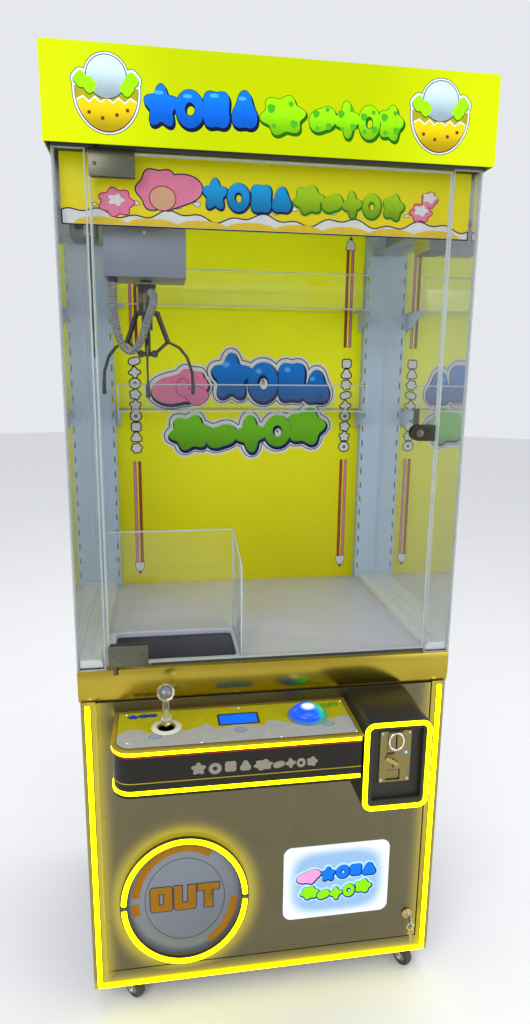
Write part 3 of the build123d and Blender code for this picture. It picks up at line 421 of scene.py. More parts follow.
# ---- lower cabinet ----
# A welded base, black laminated boards at the sides and back, and brushed dark stainless jambs in front.
# The louvres, mains inlet, cash box and power supply are behind the service door.
board_black = coat("black_laminate", (0.022, 0.022, 0.024), 0.38, mottle=0.16, grain=420, depth=0.25)
frame_black = coat("black_powder", (0.028, 0.028, 0.03), 0.42, mottle=0.1, grain=1100, depth=0.35)
sheet_grey = coat("grey_sheet", (0.10, 0.105, 0.13), 0.4, 0.2, mottle=0.1, grain=600)
bare_zinc = coat("supply_case", (0.5, 0.51, 0.5), 0.36, 1.0, mottle=0.1, grain=200, depth=0.1)


def brushed(name, colour, rough, stretch):
    """Stainless sheet: long fine scratches along one direction, with a faint cloudiness."""
    material, place = plain(name, Metallic=0.92)
    scratch, cloud = place.noise(160, 5, stretch), place.noise(3.2, 3)
    worn = (scratch - 0.5) * 0.5 + (cloud - 0.5) * 0.9 + 0.5
    worn.blend(*shades(colour, 0.07)).feed("Base Color")
    ((scratch - 0.5) * 0.22 + rough + (cloud - 0.5) * 0.12).feed("Roughness")
    place.node("Bump", None, {"Strength": 0.12, "Distance": 0.0003, "Height": scratch}).feed("Normal")
    return material


# Painted light: a faint yellow emission painted on the front's steel near the lamp strips and round the outlet, for
# the light that the strips cast on it.
brown_steel = brushed("dark_stainless", (0.155, 0.135, 0.078), 0.34, (0.06, 1, 4))
place = Wire(brown_steel.node_tree).node("TexCoord", out="Object")
x, y, z = place.axes()
ring_low, ring_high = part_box("out_ring")
outlet_x, outlet_z = ((ring_low + ring_high) / 2).x * 1000, ((ring_low + ring_high) / 2).z * 1000
ring_a, ring_b = (ring_high.x - ring_low.x) * 500, (ring_high.z - ring_low.z) * 500
across, up = (x * 1000 - outlet_x) / ring_a, (z * 1000 - outlet_z) / ring_b
from_ring = ((across * across + up * up).math("SQRT") - 1) * ring_a
strip_x, strip_z, reach, front_plane = 374, 66, 62, 0.2084
from_side = x.math("ABSOLUTE") * -1000 + strip_x
from_foot = z * 1000 - strip_z
painted_glow_distance = from_ring.math("ABSOLUTE")
for distance in (from_side, from_foot):
    painted_glow_distance = painted_glow_distance.math("MINIMUM", distance.math("ABSOLUTE"))
# The painted glow fades from the lamps out to reach millimetres, and is kept to the front face.
glow = (painted_glow_distance * -1 + reach).ramp(0.0, reach)
painted_glow_front_mask = ((y + front_plane) * -5000).ramp(0.0, 1.0)
(glow * glow * glow * painted_glow_front_mask).blend((0, 0, 0), (0.46, 0.37, 0.0)).feed("Emission Color")
brown_steel.node_tree.nodes["Principled BSDF"].inputs["Emission Strength"].default_value = 0.85
inlet_black = coat("inlet_black", (0.02, 0.02, 0.02), 0.4)
for node, width, finish in (("base_frame", 1.0, frame_black), ("side_panels", 1.2, board_black),
                            ("rear_panel", 0.8, board_black), ("power_inlet", 0.6, inlet_black),
                            ("front_frame", 0.8, brown_steel), ("prize_chute", 0.5, sheet_grey),
                            ("cash_box", 0.5, sheet_grey), ("control_unit", 0.6, bare_zinc),
                            ("service_door", 0.8, brown_steel), ("service_lock_cam", 0.4, zinc)):
    soften(node, width, finish)


# ---- light strips ----
# Yellow lamp strips, up each jamb and along the foot.
# Each is a frosted round plastic lens over lamps, pressed into a shallow channel with black rims.
def rod(points, radius, closed=False, sides=4):
    """A round bar along straight or close-set points in millimetres, with domed ends if it is open."""
    curve = bpy.data.curves.new("rod", "CURVE")
    curve.dimensions = "3D"
    path = curve.splines.new("POLY")
    path.points.add(len(points) - 1)
    for control, point in zip(path.points, points):
        control.co = (*at(*point), 1)
    path.use_cyclic_u = closed
    curve.bevel_depth, curve.bevel_resolution, curve.use_fill_caps = radius / 1000, sides, not closed
    return smooth(meshed(curve), 50)


def lit(name, colour, strength, rough=0.3):
    """A lamp lens: frosted plastic that glows, a little unevenly along its length."""
    material, place = plain(name, Roughness=rough, Specular_IOR_Level=0.1, Emission_Strength=strength)
    glow = place.noise(30, 2)
    glow.blend([c * 0.9 for c in colour], [min(1, c * 1.06) for c in colour]).feed("Emission Color")
    glow.blend([c * 0.5 for c in colour], [c * 0.6 for c in colour]).feed("Base Color")
    return material


here = Matrix.Identity(4)
lamp_yellow = lit("yellow_lens", (1.0, 0.93, 0.0), 4.6)
for label, x in (("left", -383), ("right", 383)):
    tubes = [(rod([(x, -0.4, 66), (x, -0.4, 762)], 5.6), here, lamp_yellow)]
    for rim_x in (x - 6.5, x + 6.5):
        tubes.append((rod([(rim_x, -0.2, 64), (rim_x, -0.2, 764)], 0.9), here, frame_black))
    part("jamb_light_" + label, "cabinet", tubes, slot="ring_moulding")
part("foot_light", "cabinet", [(rod([(-376, -0.4, 67), (376, -0.4, 67)], 5.4), here, lamp_yellow)],
     slot="ring_moulding")


# ---- prize outlet ----
# A black moulded ring with two lamp arcs, round an oval flap of grey-blue plastic.
# The flap has a thin printed ring, orange arcs and block letters on its face.
def flat(rings, thick, grow=0.0, edge=0.0):
    """A flat shape from closed rings of (x, y) in millimetres, centred on z = 0, with a rounded edge."""
    curve = bpy.data.curves.new("flat", "CURVE")
    curve.dimensions, curve.fill_mode = "2D", "BOTH"
    curve.extrude, curve.bevel_depth = max(thick / 2 - edge, 0) / 1000, edge / 1000
    curve.bevel_resolution, curve.offset = 2, grow / 1000
    for ring in rings:
        path = curve.splines.new("POLY")
        path.points.add(len(ring) - 1)
        for control, (x, y) in zip(path.points, ring):
            control.co = (x / 1000, y / 1000, 0, 1)
        path.use_cyclic_u = True
    return smooth(meshed(curve), 40)


def facing(x, y, z):
    """Places a flat shape upright, facing the player, with its middle at this point."""
    return Matrix.Translation(at(x, y, z)) @ Matrix.Rotation(math.pi / 2, 4, "X")


def lying(x, y, z):
    return Matrix.Translation(at(x, y, z))


def oval(a, b, start=0.0, end=360.0, count=72):
    """Points of an oval with these half axes; a part of one includes both of its ends."""
    angles = [math.radians(start + (end - start) * i / count) for i in range(count + (end - start < 360))]
    return [(a * math.cos(angle), b * math.sin(angle)) for angle in angles]


def band(a, b, width, start, end):
    """A piece of an oval band, as one closed ring."""
    return oval(a, b, start, end, 32) + oval(a - width, b - width, end, start, 32)


ring_black = coat("ring_black", (0.03, 0.03, 0.025), 0.35, grain=800)
soften("out_ring", 1.6, ring_black)
tube_in, flap_margin = 8.75, 25
arcs = []
for start in (3, 183):
    arc = oval(ring_a - tube_in, ring_b - tube_in, start, start + 174)
    arcs.append((rod([(outlet_x + x, -7.2, outlet_z + z) for x, z in arc], 6.2), here, lamp_yellow))
part("outlet_light", "service_door", arcs, slot="ring_moulding")

flap_material, place = plain("flap_plastic", Roughness=0.32)
x, y, z = place.axes()
# Painted light and shade: the flap's grey-blue is lighter towards its top left and darker towards its bottom right,
# with a fine random grain.
lighter = (z * 2.2 - x * 1.5 - outlet_z * 0.0022 - 0.1).ramp(-0.5, 0.5)
shade = lighter + (place.noise(900, 2) - 0.5) * 0.3
shade.blend((0.09, 0.105, 0.135), (0.17, 0.19, 0.235)).feed("Base Color")
soften("prize_flap", 0.8, flap_material)
orange = coat("orange_print", (0.29, 0.125, 0.001), 0.4, grain=900, depth=0.05, Specular_IOR_Level=0.15)
dark_line = coat("dark_print", (0.02, 0.025, 0.05), 0.4, grain=900, depth=0.05)
flap_face = facing(outlet_x, 2.2, outlet_z)
letter_o = [[(-20, -31), (20, -31), (24, -26), (24, 26), (20, 31), (-20, 31), (-24, 26), (-24, -26)],
            [(-6, -15), (-6, 15), (6, 15), (6, -15)]]
letter_u = [[(-20, -31), (20, -31), (24, -26), (24, 31), (7, 31), (7, -14), (-7, -14), (-7, 31), (-24, 31),
             (-24, -26)]]
letter_t = [[(-9, -31), (9, -31), (9, 14), (24, 14), (24, 31), (-24, 31), (-24, 14), (-9, 14)]]
prints = []
for dx, rings in ((-53, letter_o), (0, letter_u), (53, letter_t)):
    for grow, lift, finish in ((2.6, 0.0, dark_line), (0, 0.25, orange)):
        spot = flap_face @ Matrix.Translation((dx / 1000, 0.004, lift / 1000))
        prints.append((flat(rings, 0.3, grow), spot, finish))
a, b = ring_a - flap_margin, ring_b - flap_margin
for start, end in ((58, 174), (181, 195), (-62, -3)):
    prints.append((flat([band(a, b, 17, start, end)], 0.3), flap_face, orange))
prints.append((flat([oval(90, 106), oval(88.6, 104.6)], 0.3), flap_face, dark_line))
part("outlet_flap_print", "prize_flap", prints, slot="flap_panel")


# ---- lit window ----
# A lamp box behind a frosted acrylic lens, with a bright border round a pale blue field.
# It is screwed in from behind, and a small row of toy shapes is printed on the lens.
def second_finish(piece, finish, chosen):
    """Gives the faces whose middle and direction are chosen another finish."""
    piece.data.materials.append(finish)
    for polygon in piece.data.polygons:
        if chosen(polygon.center, polygon.normal):
            polygon.material_index = 1


def smoothed_box(x, z, half_x, half_z):
    """0 in the middle of a rectangle and 1 at its edges, from places measured from its middle."""
    across = (x.math("ABSOLUTE") / half_x).math("POWER", 4)
    up = (z.math("ABSOLUTE") / half_z).math("POWER", 4)
    return (across + up).math("POWER", 0.25)


low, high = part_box("window_lightbox")
window_x, window_z = ((low + high) / 2).x, ((low + high) / 2).z
lens, place = plain("window_lens", Roughness=0.4, Specular_IOR_Level=0.2, Emission_Strength=1.0)
x, y, z = place.axes()
border = smoothed_box(x - window_x, z - window_z, 0.1255, 0.0948).ramp(0.70, 0.99)
uneven = border * 0.94 + (place.noise(40, 2) - 0.5) * 0.05
uneven.blend((0.30, 0.50, 0.79), (0.90, 0.96, 1.0)).feed("Emission Color")
border.blend((0.05, 0.08, 0.1), (0.1, 0.1, 0.1)).feed("Base Color")
box_white = coat("lamp_box_white", (0.5, 0.5, 0.49), 0.45, mottle=0.05)
lens_back = low.y + 0.006
second_finish(soften("window_lightbox", 1.4, lens), box_white, lambda spot, out: spot.y > lens_back)


def lobed(count, depth, width, height, turn=0.0):
    """A soft closed shape with this many lobes: a ball with none, a bow with two, a star with five."""
    points, ring = 60, []
    for index in range(points):
        angle = 2 * math.pi * index / points
        reach = 1 + depth * math.cos(count * angle)
        ring.append((reach * math.cos(angle + turn) * width / 2, reach * math.sin(angle + turn) * height / 2))
    return ring


toy_kinds = [(5, 0.2, 0.31), (0, 0.0, 0.0), (4, 0.12, 0.79), (3, 0.17, 1.57), (6, 0.13, 0.2), (2, 0.24, 0.3),
             (4, 0.24, 0.1), (0, 0.0, 0.0), (5, 0.14, 0.1)]


def toy_row(spots, first=0):
    """Toy shapes in a row, from (x, y, width, height) in millimetres."""
    row = []
    for index, (x, y, width, height) in enumerate(spots):
        count, depth, turn = toy_kinds[(first + index) % len(toy_kinds)]
        rings = [lobed(count, depth, width / (1 + depth * 0.6), height / (1 + depth * 0.6), turn)]
        if count == 0:
            rings.append(lobed(0, 0, width * 0.36, height * 0.36))
        row.append((rings, x, y))
    return row


def stack(face, items, layers, step=0.14):
    """Prints shapes on a face: each layer is (grow, dx, dy, finish), one over the other.

    Neighbours that overlap are given slightly different heights.
    """
    pieces = []
    for level, (grow, dx, dy, finish) in enumerate(layers):
        for index, (rings, x, y) in enumerate(items):
            lift = 0.1 + step * level + 0.012 * index
            move = Matrix.Translation(((x + dx) / 1000, (y + dy) / 1000, lift / 1000))
            pieces.append((flat(rings, 0.2, grow), face @ move, finish))
    return pieces


def raised(face, lift):
    """A face moved outwards, in millimetres."""
    return face @ Matrix.Translation((0, 0, lift / 1000))


def ink(name, colour, glow=0.0, fade=None):
    """Printed ink; behind a lamp it glows, and with a fade it deepens from the top height to the lower one."""
    material, place = plain(name, Roughness=0.4, Specular_IOR_Level=0.12, Emission_Strength=glow)
    shade = place.noise(60, 3)
    deep = 0.86
    if fade:
        height = place.axes()[2] * 1000
        shade = shade * 0.2 + ((height - fade[0]) / (fade[1] - fade[0])).ramp(0.0, 1.0) * 0.85
        deep = 0.42
    shade.blend([c * deep for c in colour], [min(1, c * 1.1) for c in colour]).feed("Base Color")
    if glow:
        shade.blend([c * deep for c in colour], colour).feed("Emission Color")
    return material


window_blue = ink("window_blue", (0.0, 0.12, 0.72), 0.75)
window_green = ink("window_green", (0.17, 0.52, 0.0), 0.75)
window_pink = ink("window_pink", (0.62, 0.22, 0.42), 0.8)
window_navy = ink("window_navy", (0.01, 0.03, 0.12), 0.1)
window_halo = ink("window_halo", (0.26, 0.46, 0.85), 0.85)
face = facing(0, 0, 0) @ Matrix.Translation((0, 0, -low.y + front_y))
blues = toy_row([(141, 303, 32, 36), (176, 306, 30, 34), (207, 308, 30, 34), (239, 305, 32, 34)])
greens = toy_row([(98, 258, 42, 34), (131, 250, 28, 32), (161, 250, 28, 32), (192, 254, 28, 34),
                  (226, 261, 40, 36)], 4)
pinks = [([lobed(2, 0.3, 46, 34, 0.5)], 95, 302), ([lobed(5, 0.08, 30, 26)], 98, 296)]
prints = stack(face, blues + greens + pinks, [(6.5, 0, 0, window_halo), (2.6, 1, -1.5, window_navy)])
top = raised(face, 0.3)
for items, finish in ((blues, window_blue), (greens, window_green), (pinks, window_pink)):
    prints += stack(top, items, [(0, 0, 0, finish)])
part("window_print", "service_door", prints, slot="window_lens")


# ---- service lock and key ----
# A chromed cam lock with a brass edge, held by its nut behind the service door.
# A spare key hangs on a wire ring from the one in the barrel.
brass = coat("brass_edge", (0.62, 0.42, 0.13), 0.3, 1.0, mottle=0.12, grain=300, depth=0.08)
chrome = coat("bright_chrome", (0.78, 0.78, 0.78), 0.12, 1.0, mottle=0.05, grain=200, depth=0.03)
ring_shape = lathe([(7.2, 0), (7.2, 2.2), (10.5, 2.2), (12, 1.2), (12.4, 0), (7.2, 0)])
part("lock_ring", "service_door", [(ring_shape, facing(339, -4, 171), brass)], slot="lock_chrome")
key_ring = rod([(339 + x, -30, 158 + z) for x, z in oval(8, 8, count=28)], 0.8, closed=True)
key_blade = flat([oval(8, 8), oval(2.6, 2.6)], 1.6)
shaft = flat([[(-3, 0), (3, 0), (3, -20), (0, -27), (-3, -22)]], 1.4)
hang = facing(341, -30, 143)
part("spare_key", "service_lock", [(key_ring, here, chrome), (key_blade, hang, brass),
                                   (shaft, hang @ Matrix.Translation((0, -0.007, 0)), brass)], slot="lock_chrome")


# ---- control console ----
# A folded hollow box with a rounded front corner: a printed top with white waves, a black band in front,
# and a yellow lamp strip along its upper and lower edges.
def front_of(node):
    """How far behind the glass door's front a node begins, in millimetres."""
    return (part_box(node)[0].y - front_y) * 1000


low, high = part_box("console_shell")
con_x = (low.x * 1000, high.x * 1000)
con_y = (front_of("console_shell"), 0.0)
con_z = (644.0, 745.0)
corner_r = 40


def console_line(inset, back=-2.0):
    """The console's outline in plan, moved inwards, from the back left corner round to the back right."""
    left, right, front, r = con_x[0] + inset, con_x[1] - inset, con_y[0] + inset, corner_r - inset
    turn = [(left + r - r * math.cos(a), front + r - r * math.sin(a))
            for a in [math.radians(90 * i / 12) for i in range(13)]]
    return [(left, back), *turn, (right, front)], (right, back)


def console_ring(inset, back=-0.2):
    path, end = console_line(inset, back)
    return path + [end]


console_black = coat("console_black", (0.012, 0.011, 0.008), 0.4, mottle=0.1, grain=900, depth=0.1,
                     Specular_IOR_Level=0.2)
console_gold = coat("console_gold", (0.36, 0.27, 0.02), 0.35, 0.6, grain=700)
print_yellow = ink("print_yellow", (0.40, 0.36, 0.006))
print_white = ink("print_white", (0.36, 0.36, 0.33))
print_red = ink("print_red", (0.30, 0.02, 0.02))
print_grey = ink("print_grey", (0.24, 0.225, 0.17))
stick_x, stick_y, button_x, button_y = -222, -74, 68, -66


def hole(x, y, r):
    return [(x + dx, y + dy) for dx, dy in oval(r, r)]


button_hole = hole(button_x, button_y, 33.3)
holes = [hole(stick_x, stick_y, 17), button_hole]
wall_low, wall_high = con_z[0] + 10.5, con_z[1] - 10.5
pieces = [(flat([console_ring(3.2), console_ring(6.0, -0.19)], wall_high - wall_low, 0, 0.0),
           lying(0, 0, (wall_low + wall_high) / 2), console_black),
          (flat([console_ring(1.2), *holes], 5, 0, 0.8), lying(0, 0, con_z[1] - 2.9), console_gold),
          (flat([console_ring(1.2)], 5, 0, 0.8), lying(0, 0, con_z[0] + 2.9), console_black)]
for z in (con_z[1] - 9.2, con_z[0] + 9.2):
    path, _ = console_line(5.0)
    pieces.append((rod([(x, y, z) for x, y in path], 4.9), here, lamp_yellow))
for z, r, finish in ((728, 0.9, print_red), (674, 1.1, console_gold)):
    path, _ = console_line(3.1)
    pieces.append((rod([(x, y, z) for x, y in path], r), here, finish))
part("console_body", "service_door", pieces, ["console_shell"], "console_print")

top_z = con_z[1] - 0.4
print_holes = [hole(stick_x, stick_y, 19), button_hole]
layers = [(flat([console_ring(9, -8), *print_holes], 0.5), lying(0, 0, top_z + 0.25), dark_line),
          (flat([console_ring(10.4, -9.4), *print_holes], 0.5), lying(0, 0, top_z + 0.4), print_yellow)]


def shore(x):
    """The wave line across the plate; it passes in front of the stick's and the button's holes."""
    y = -84 + 9 * math.sin((155 - x) * 0.0886) + 3 * math.sin((155 - x) * 0.196)
    for hole_x, hole_y, r in ((stick_x, stick_y, 25), (button_x, button_y, 39)):
        if abs(x - hole_x) < r:
            y = min(y, hole_y - math.sqrt(r * r - (x - hole_x) ** 2))
    return y


left, right, front, r = con_x[0] + 10.6, con_x[1] - 10.6, con_y[0] + 10.6, corner_r - 10.6
crest = [(right - (right - left) * i / 150, shore(right - (right - left) * i / 150)) for i in range(151)]
corner = [(left + r - r * math.cos(math.radians(7.5 * i)), front + r - r * math.sin(math.radians(7.5 * i)))
          for i in range(13)]
layers.append((flat([crest + corner + [(right, front)]], 0.5), lying(0, 0, top_z + 0.52), print_white))
pale_oval = ink("oval_fill", (0.24, 0.32, 0.36))
oval_line = ink("oval_line", (0.08, 0.13, 0.2))
for x, y in ((-244, -108), (-76, -104), (103, -104)):
    layers.append((flat([oval(13, 9)], 0.4), lying(x, y, top_z + 0.66), oval_line))
    layers.append((flat([oval(11.6, 7.6)], 0.4), lying(x, y, top_z + 0.78), pale_oval))
shadow_blue = ink("deep_blue", (0.002, 0.01, 0.06))
toy_blue = ink("toy_blue", (0.003, 0.06, 0.40))
toy_green = ink("toy_green", (0.13, 0.38, 0.01))
leaf_green = ink("leaf_green", (0.02, 0.16, 0.01))
pink_ink = ink("pink_ink", (0.72, 0.20, 0.34))
rose_ink = ink("rose_ink", (0.36, 0.02, 0.09))
table = lying(0, 0, top_z + 0.5)
layers += stack(table, toy_row([(-289, -27, 20, 13), (-268, -25, 18, 13), (-250, -25, 18, 12)]),
                [(1.6, 0, 0, shadow_blue), (0, 0, 0, toy_blue)])
layers += stack(table, toy_row([(112, -30, 20, 14), (132, -26, 18, 13)], 3),
                [(1.6, 0, 0, leaf_green), (0, 0, 0, toy_green)])
part("console_print", "service_door", layers, slot="console_print")

face = facing(0, con_y[0] + 3.2, 0)
greys = toy_row([(-163, 696, 28, 26), (-131, 694, 25, 24), (-101, 696, 26, 26), (-72, 694, 22, 24),
                 (-37, 694, 38, 24), (-6, 692, 22, 20), (17, 693, 20, 20), (38, 692, 18, 20), (60, 693, 22, 21)])
part("console_front_print", "service_door", stack(face, greys, [(0, 0, 0, print_grey)]), slot="console_print")

display_blue = lit("display_blue", (0.0, 0.12, 0.9), 0.9, 0.15)
bezel_black = coat("bezel_black", (0.015, 0.015, 0.017), 0.3)


def round_rect(width, height, r, count=6):
    """A rectangle with rounded corners, round the origin."""
    ring = []
    for cx, cy, start in ((1, 1, 0), (-1, 1, 90), (-1, -1, 180), (1, -1, 270)):
        for i in range(count + 1):
            a = math.radians(start + 90 * i / count)
            ring.append((cx * (width / 2 - r) + r * math.cos(a), cy * (height / 2 - r) + r * math.sin(a)))
    return ring


part("counter_display", "service_door", [
    (flat([round_rect(84, 44, 3), round_rect(77, 37, 1)], 1.4, 0, 0.4), lying(-76, -61, top_z + 0.9), bezel_black),
    (flat([round_rect(78, 38, 1)], 0.6), lying(-76, -61, top_z + 0.6), display_blue)], slot="console_print")
screw_shape = lathe([(0, 0.5), (0.8, 0.5), (1.1, 1.5), (2.6, 1.3), (3.4, 0.5), (3.6, 0), (0, 0)], 24)
screws = [(screw_shape, lying(x, y, top_z + 0.5), chrome) for x, y in
          ((-302, -14), (-296, -124), (-155, -139), (0, -139), (152, -139), (152, -14), (-70, -14))]
part("console_screws", "service_door", screws, slot="lock_chrome")


# ---- joystick ----
# A clear moulded ball and a tapering clear grip in one, screwed on a chrome rod.
# The rod tilts in a gimbal of black nylon under the console, and a pale collar closes its hole.
clear_resin, place = plain("clear_resin", Roughness=0.05, IOR=1.49, Transmission_Weight=0.96)
place.noise(120, 3).blend((0.82, 0.88, 0.92), (0.95, 0.97, 1.0)).feed("Base Color")
core_white = coat("frosted_core", (0.72, 0.75, 0.78), 0.25)
core_grey = coat("faceted_core", (0.16, 0.18, 0.19), 0.15, 0.4)
ball = [(17.5 * math.sin(math.radians(a)), 820 + 17.5 * math.cos(math.radians(a))) for a in range(0, 161, 8)]
grip = lathe([*ball, (6.2, 801), (7.5, 796), (6.6, 790), (8.4, 776), (10.2, 762), (10.9, 756), (9, 753), (0, 753)])
core = lathe([(0, 811), (6, 813), (9, 820), (7.5, 826), (3, 830), (0, 831)], 10)
stick_rod = lathe([(0, 690), (4.6, 690), (5, 691), (5, 753.5), (0, 753.5)])
post_spot = lying(stick_x, stick_y, 0)
cross = rod([(stick_x, stick_y - 19, 715), (stick_x, stick_y + 19, 715)], 2.4)
part("joystick_grip", "joystick", [(grip, post_spot, clear_resin), (core, post_spot, core_grey),
                                   (stick_rod, post_spot, chrome), (cross, here, chrome)],
     ["joystick_lever"], "clear_ball")
soften("joystick_gimbal", 0.6, bezel_black)
collar = lathe([(18.8, 0), (18.8, 1.6), (20, 2.4), (28, 1.8), (30, 0.6), (30.4, 0), (18.8, 0)])
collar_clear = coat("collar_white", (0.6, 0.62, 0.5), 0.25)
part("joystick_collar", "service_door", [(collar, lying(stick_x, stick_y, top_z + 0.4), collar_clear)],
     slot="clear_ball")


# ---- lit push button ----
# A clear moulded dome over a lamp that is blue on one side and green on the other.
# It slides in a clear rim that is clamped through the console's top.
dome_paint, place = plain("button_dome", Roughness=0.12, Emission_Strength=1.25)
x, y, z = place.axes()
shift = ((x - 0.078) * 40 + (y + 0.275) * 16 + place.noise(18, 2) * 0.7).ramp(0.0, 0.9)
hue = shift.blend((0.0, 0.08, 0.85), (0.0, 0.42, 0.16))
# Painted highlight: the top of the dome glows near white, for the reflection of the lights on it.
painted_crown_highlight = ((z * 1000 - 757) / 10).ramp(0.80, 1.0)
painted_crown_highlight.blend(hue, (0.85, 0.92, 1.0)).feed("Emission Color")
shift.blend((0.0, 0.02, 0.2), (0.0, 0.12, 0.05)).feed("Base Color")
dome = [(33 * math.sin(math.radians(a)), 754 + 13 * math.cos(math.radians(a))) for a in range(0, 91, 6)]
button_shape = lathe([*dome, (33, 740), (32, 733), (0, 733)])
part("button_dome", "button", [(button_shape, lying(button_x, button_y, 0), dome_paint)],
     ["push_button"], "button_lens")
# Painted light: the clear rim glows blue on the left and green on the right, for the button's lamp light that shows
# through it.
rim_painted_glow, place = plain("button_rim", Roughness=0.2, Emission_Strength=0.35)
x, y, z = place.axes()
((x - 0.07) * 22).ramp(-0.2, 0.5).blend((0.02, 0.1, 0.8), (0.0, 0.55, 0.3)).feed("Emission Color")
(place.noise(200, 2) * 0.5).blend((0.06, 0.10, 0.16), (0.10, 0.15, 0.2)).feed("Base Color")
rim_shape = lathe([(33.4, 0), (33.4, 4), (35, 5.2), (40, 4.4), (42, 2.4), (42.4, 0), (33.4, 0)])
part("button_rim", "service_door", [(rim_shape, lying(button_x, button_y, top_z), rim_painted_glow)], slot="button_lens")


# ---- coin box ----
# A black moulded hood with rounded long edges, framed in front by a yellow lamp strip.
# The mechanism's steel plate sits in a recess, held by four screws.
hood_black = coat("hood_black", (0.014, 0.013, 0.009), 0.36, mottle=0.15, grain=650, depth=0.45,
                  Specular_IOR_Level=0.35)
soften("coin_box", 1.2, hood_black)
low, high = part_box("coin_box")
box_middle = (low + high) * 500
frame_ring = round_rect((high.x - low.x) * 1000 - 13.5, (high.z - low.z) * 1000 - 13.5, 16, 8)
coin_y = front_of("coin_box")
frame_path = [(box_middle.x + x, coin_y + 2.4, box_middle.z + z) for x, z in frame_ring]
part("coin_light", "service_door", [(rod(frame_path, 5.8, closed=True), here, lamp_yellow)], slot="ring_moulding")
coin_steel = brushed("coin_plate", (0.24, 0.20, 0.075), 0.3, (1, 1, 0.05))
for node, width in (("coin_faceplate", 0.6), ("coin_return_flap", 0.5)):
    soften(node, width, coin_steel)
lever_brass = coat("lever_brass", (0.42, 0.33, 0.10), 0.25, 1.0, mottle=0.1, grain=300)
soften("coin_reject_lever", 1.0, lever_brass)
low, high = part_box("coin_faceplate")
plate_mid = (low.x + high.x) * 500
plate_y = -141
bits = [(screw_shape, facing(x, plate_y, z), zinc) for x in (206.5, 262.5) for z in (631, 735)]
entry = [(plate_mid + x, plate_y - 4, 718 + z) for x, z in oval(15, 18.5, count=40)]
bits.append((rod(entry, 1.8, closed=True), here, chrome))
for width, height, x, z in ((18, 4.5, 224, 690), (4, 20, 231, 668)):
    bits.append((flat([round_rect(width, height, 1.9)], 0.8), facing(x, plate_y - 0.2, z), bezel_black))
part("coin_plate_trim", "service_door", bits, slot="coin_steel")
blue_spark = lit("blue_indicator", (0.05, 0.2, 1.0), 5)
part("coin_indicator", "service_door", [(lathe([(0, 2.6), (1.6, 2.2), (2.5, 1), (2.6, 0), (0, 0)], 20),
                                         facing(257, plate_y, 691), blue_spark)], slot="button_lens")


# ---- gold belt ----
# Mirror-finished stainless band, coated gold.
# It is folded over the join of the lower cabinet and the glass, and screwed on from inside.
gold, place = plain("gold_mirror", Metallic=1.0)
haze = place.noise(5, 4)
haze.blend((0.34, 0.25, 0.025), (0.50, 0.38, 0.05)).feed("Base Color")
(haze * 0.10 + 0.15 + place.noise(500, 2, (0.1, 1, 1)) * 0.05).feed("Roughness")
soften("belt_trim", 0.8, gold)


# ---- glass ----
# Tempered panes that stand in channels; the front one is the door, and has no frame.
# Each is a clear sheet that mirrors more at a low angle, with ground edges that catch light.
def clear(name, tint, body, gain=0.9, most=0.7):
    """Clear sheet: it lets nearly all light through face on, and reflects at a low angle."""
    material, place = plain(name, Metallic=1.0, Roughness=0.02)
    rim = place.node("Fresnel", None, {"IOR": 1.45})
    dust = place.noise(6, 4)
    ((rim - 0.034) * gain + dust * body).math("MAXIMUM", body * 0.3).math("MINIMUM", most).feed("Alpha")
    dust.blend([c * 0.96 for c in tint], tint).feed("Base Color")
    return material


def edge_glow(name, colour, alpha):
    """A ground edge: it scatters the light that comes out of a sheet."""
    material, place = plain(name, Roughness=0.15, Alpha=alpha)
    place.noise(30, 3).blend([c * 0.8 for c in colour], colour).feed("Base Color")
    return material


pane_clear = clear("pane_clear", (0.92, 0.97, 0.97), 0.006)
side_clear = clear("side_clear", (0.90, 0.94, 0.93), 0.02, 6.0, 0.78)
ground_edge = edge_glow("ground_edge", (0.68, 0.74, 0.74), 0.55)
seal_black = coat("seal_black", (0.02, 0.02, 0.022), 0.5)
for node in ("door_glass", "front_glass_strips"):
    soften(node, 0.3, pane_clear, segments=1)
soften("side_glass", 0.3, side_clear, segments=1)


def sheets_of(node):
    """The low and the high corner of each separate sheet of a glass node, in millimetres."""
    solid = welded(node)
    sheets, seen = [], set()
    for vert in solid.verts:
        if vert in seen:
            continue
        group, heap = [], [vert]
        seen.add(vert)
        while heap:
            reached = heap.pop()
            group.append(reached)
            for edge in reached.link_edges:
                other = edge.other_vert(reached)
                if other not in seen:
                    seen.add(other)
                    heap.append(other)
        sheets.append([Vector([pick(v.co[i] for v in group) for i in range(3)]) * 1000 for pick in (min, max)])
    solid.free()
    return sheets


def outline_bars(low, high, thick):
    """Four bars round the edge of a flat sheet between two corners, in millimetres."""
    size = high - low
    flat_axis = min(range(3), key=lambda i: size[i])
    a, b = [i for i in range(3) if i != flat_axis]
    ring = []
    for sa, sb in ((0, 0), (1, 0), (1, 1), (0, 1)):
        point = (low + high) / 2
        point[a] = (low[a] + thick / 2) if sa == 0 else (high[a] - thick / 2)
        point[b] = (low[b] + thick / 2) if sb == 0 else (high[b] - thick / 2)
        ring.append((point.x, point.y - front_y * 1000, point.z))
    return rod(ring, size[flat_axis] / 2 * 0.96, closed=True, sides=2)


for node, name in (("door_glass", "door_glass_edge"), ("front_glass_strips", "front_strip_edge"),
                   ("side_glass", "side_glass_edge")):
    edges = [(outline_bars(low, high, 2.0), here, ground_edge) for low, high in sheets_of(node)]
    part(name, frame["nodes"][node]["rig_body"], edges, slot=slot_of(node))
part("door_foot_seal", "glass_door", [
    (flat([round_rect(588, 5.5, 1)], 6, 0, 0.6), facing(44, 4, 847.6), seal_black)], slot="painted_black")


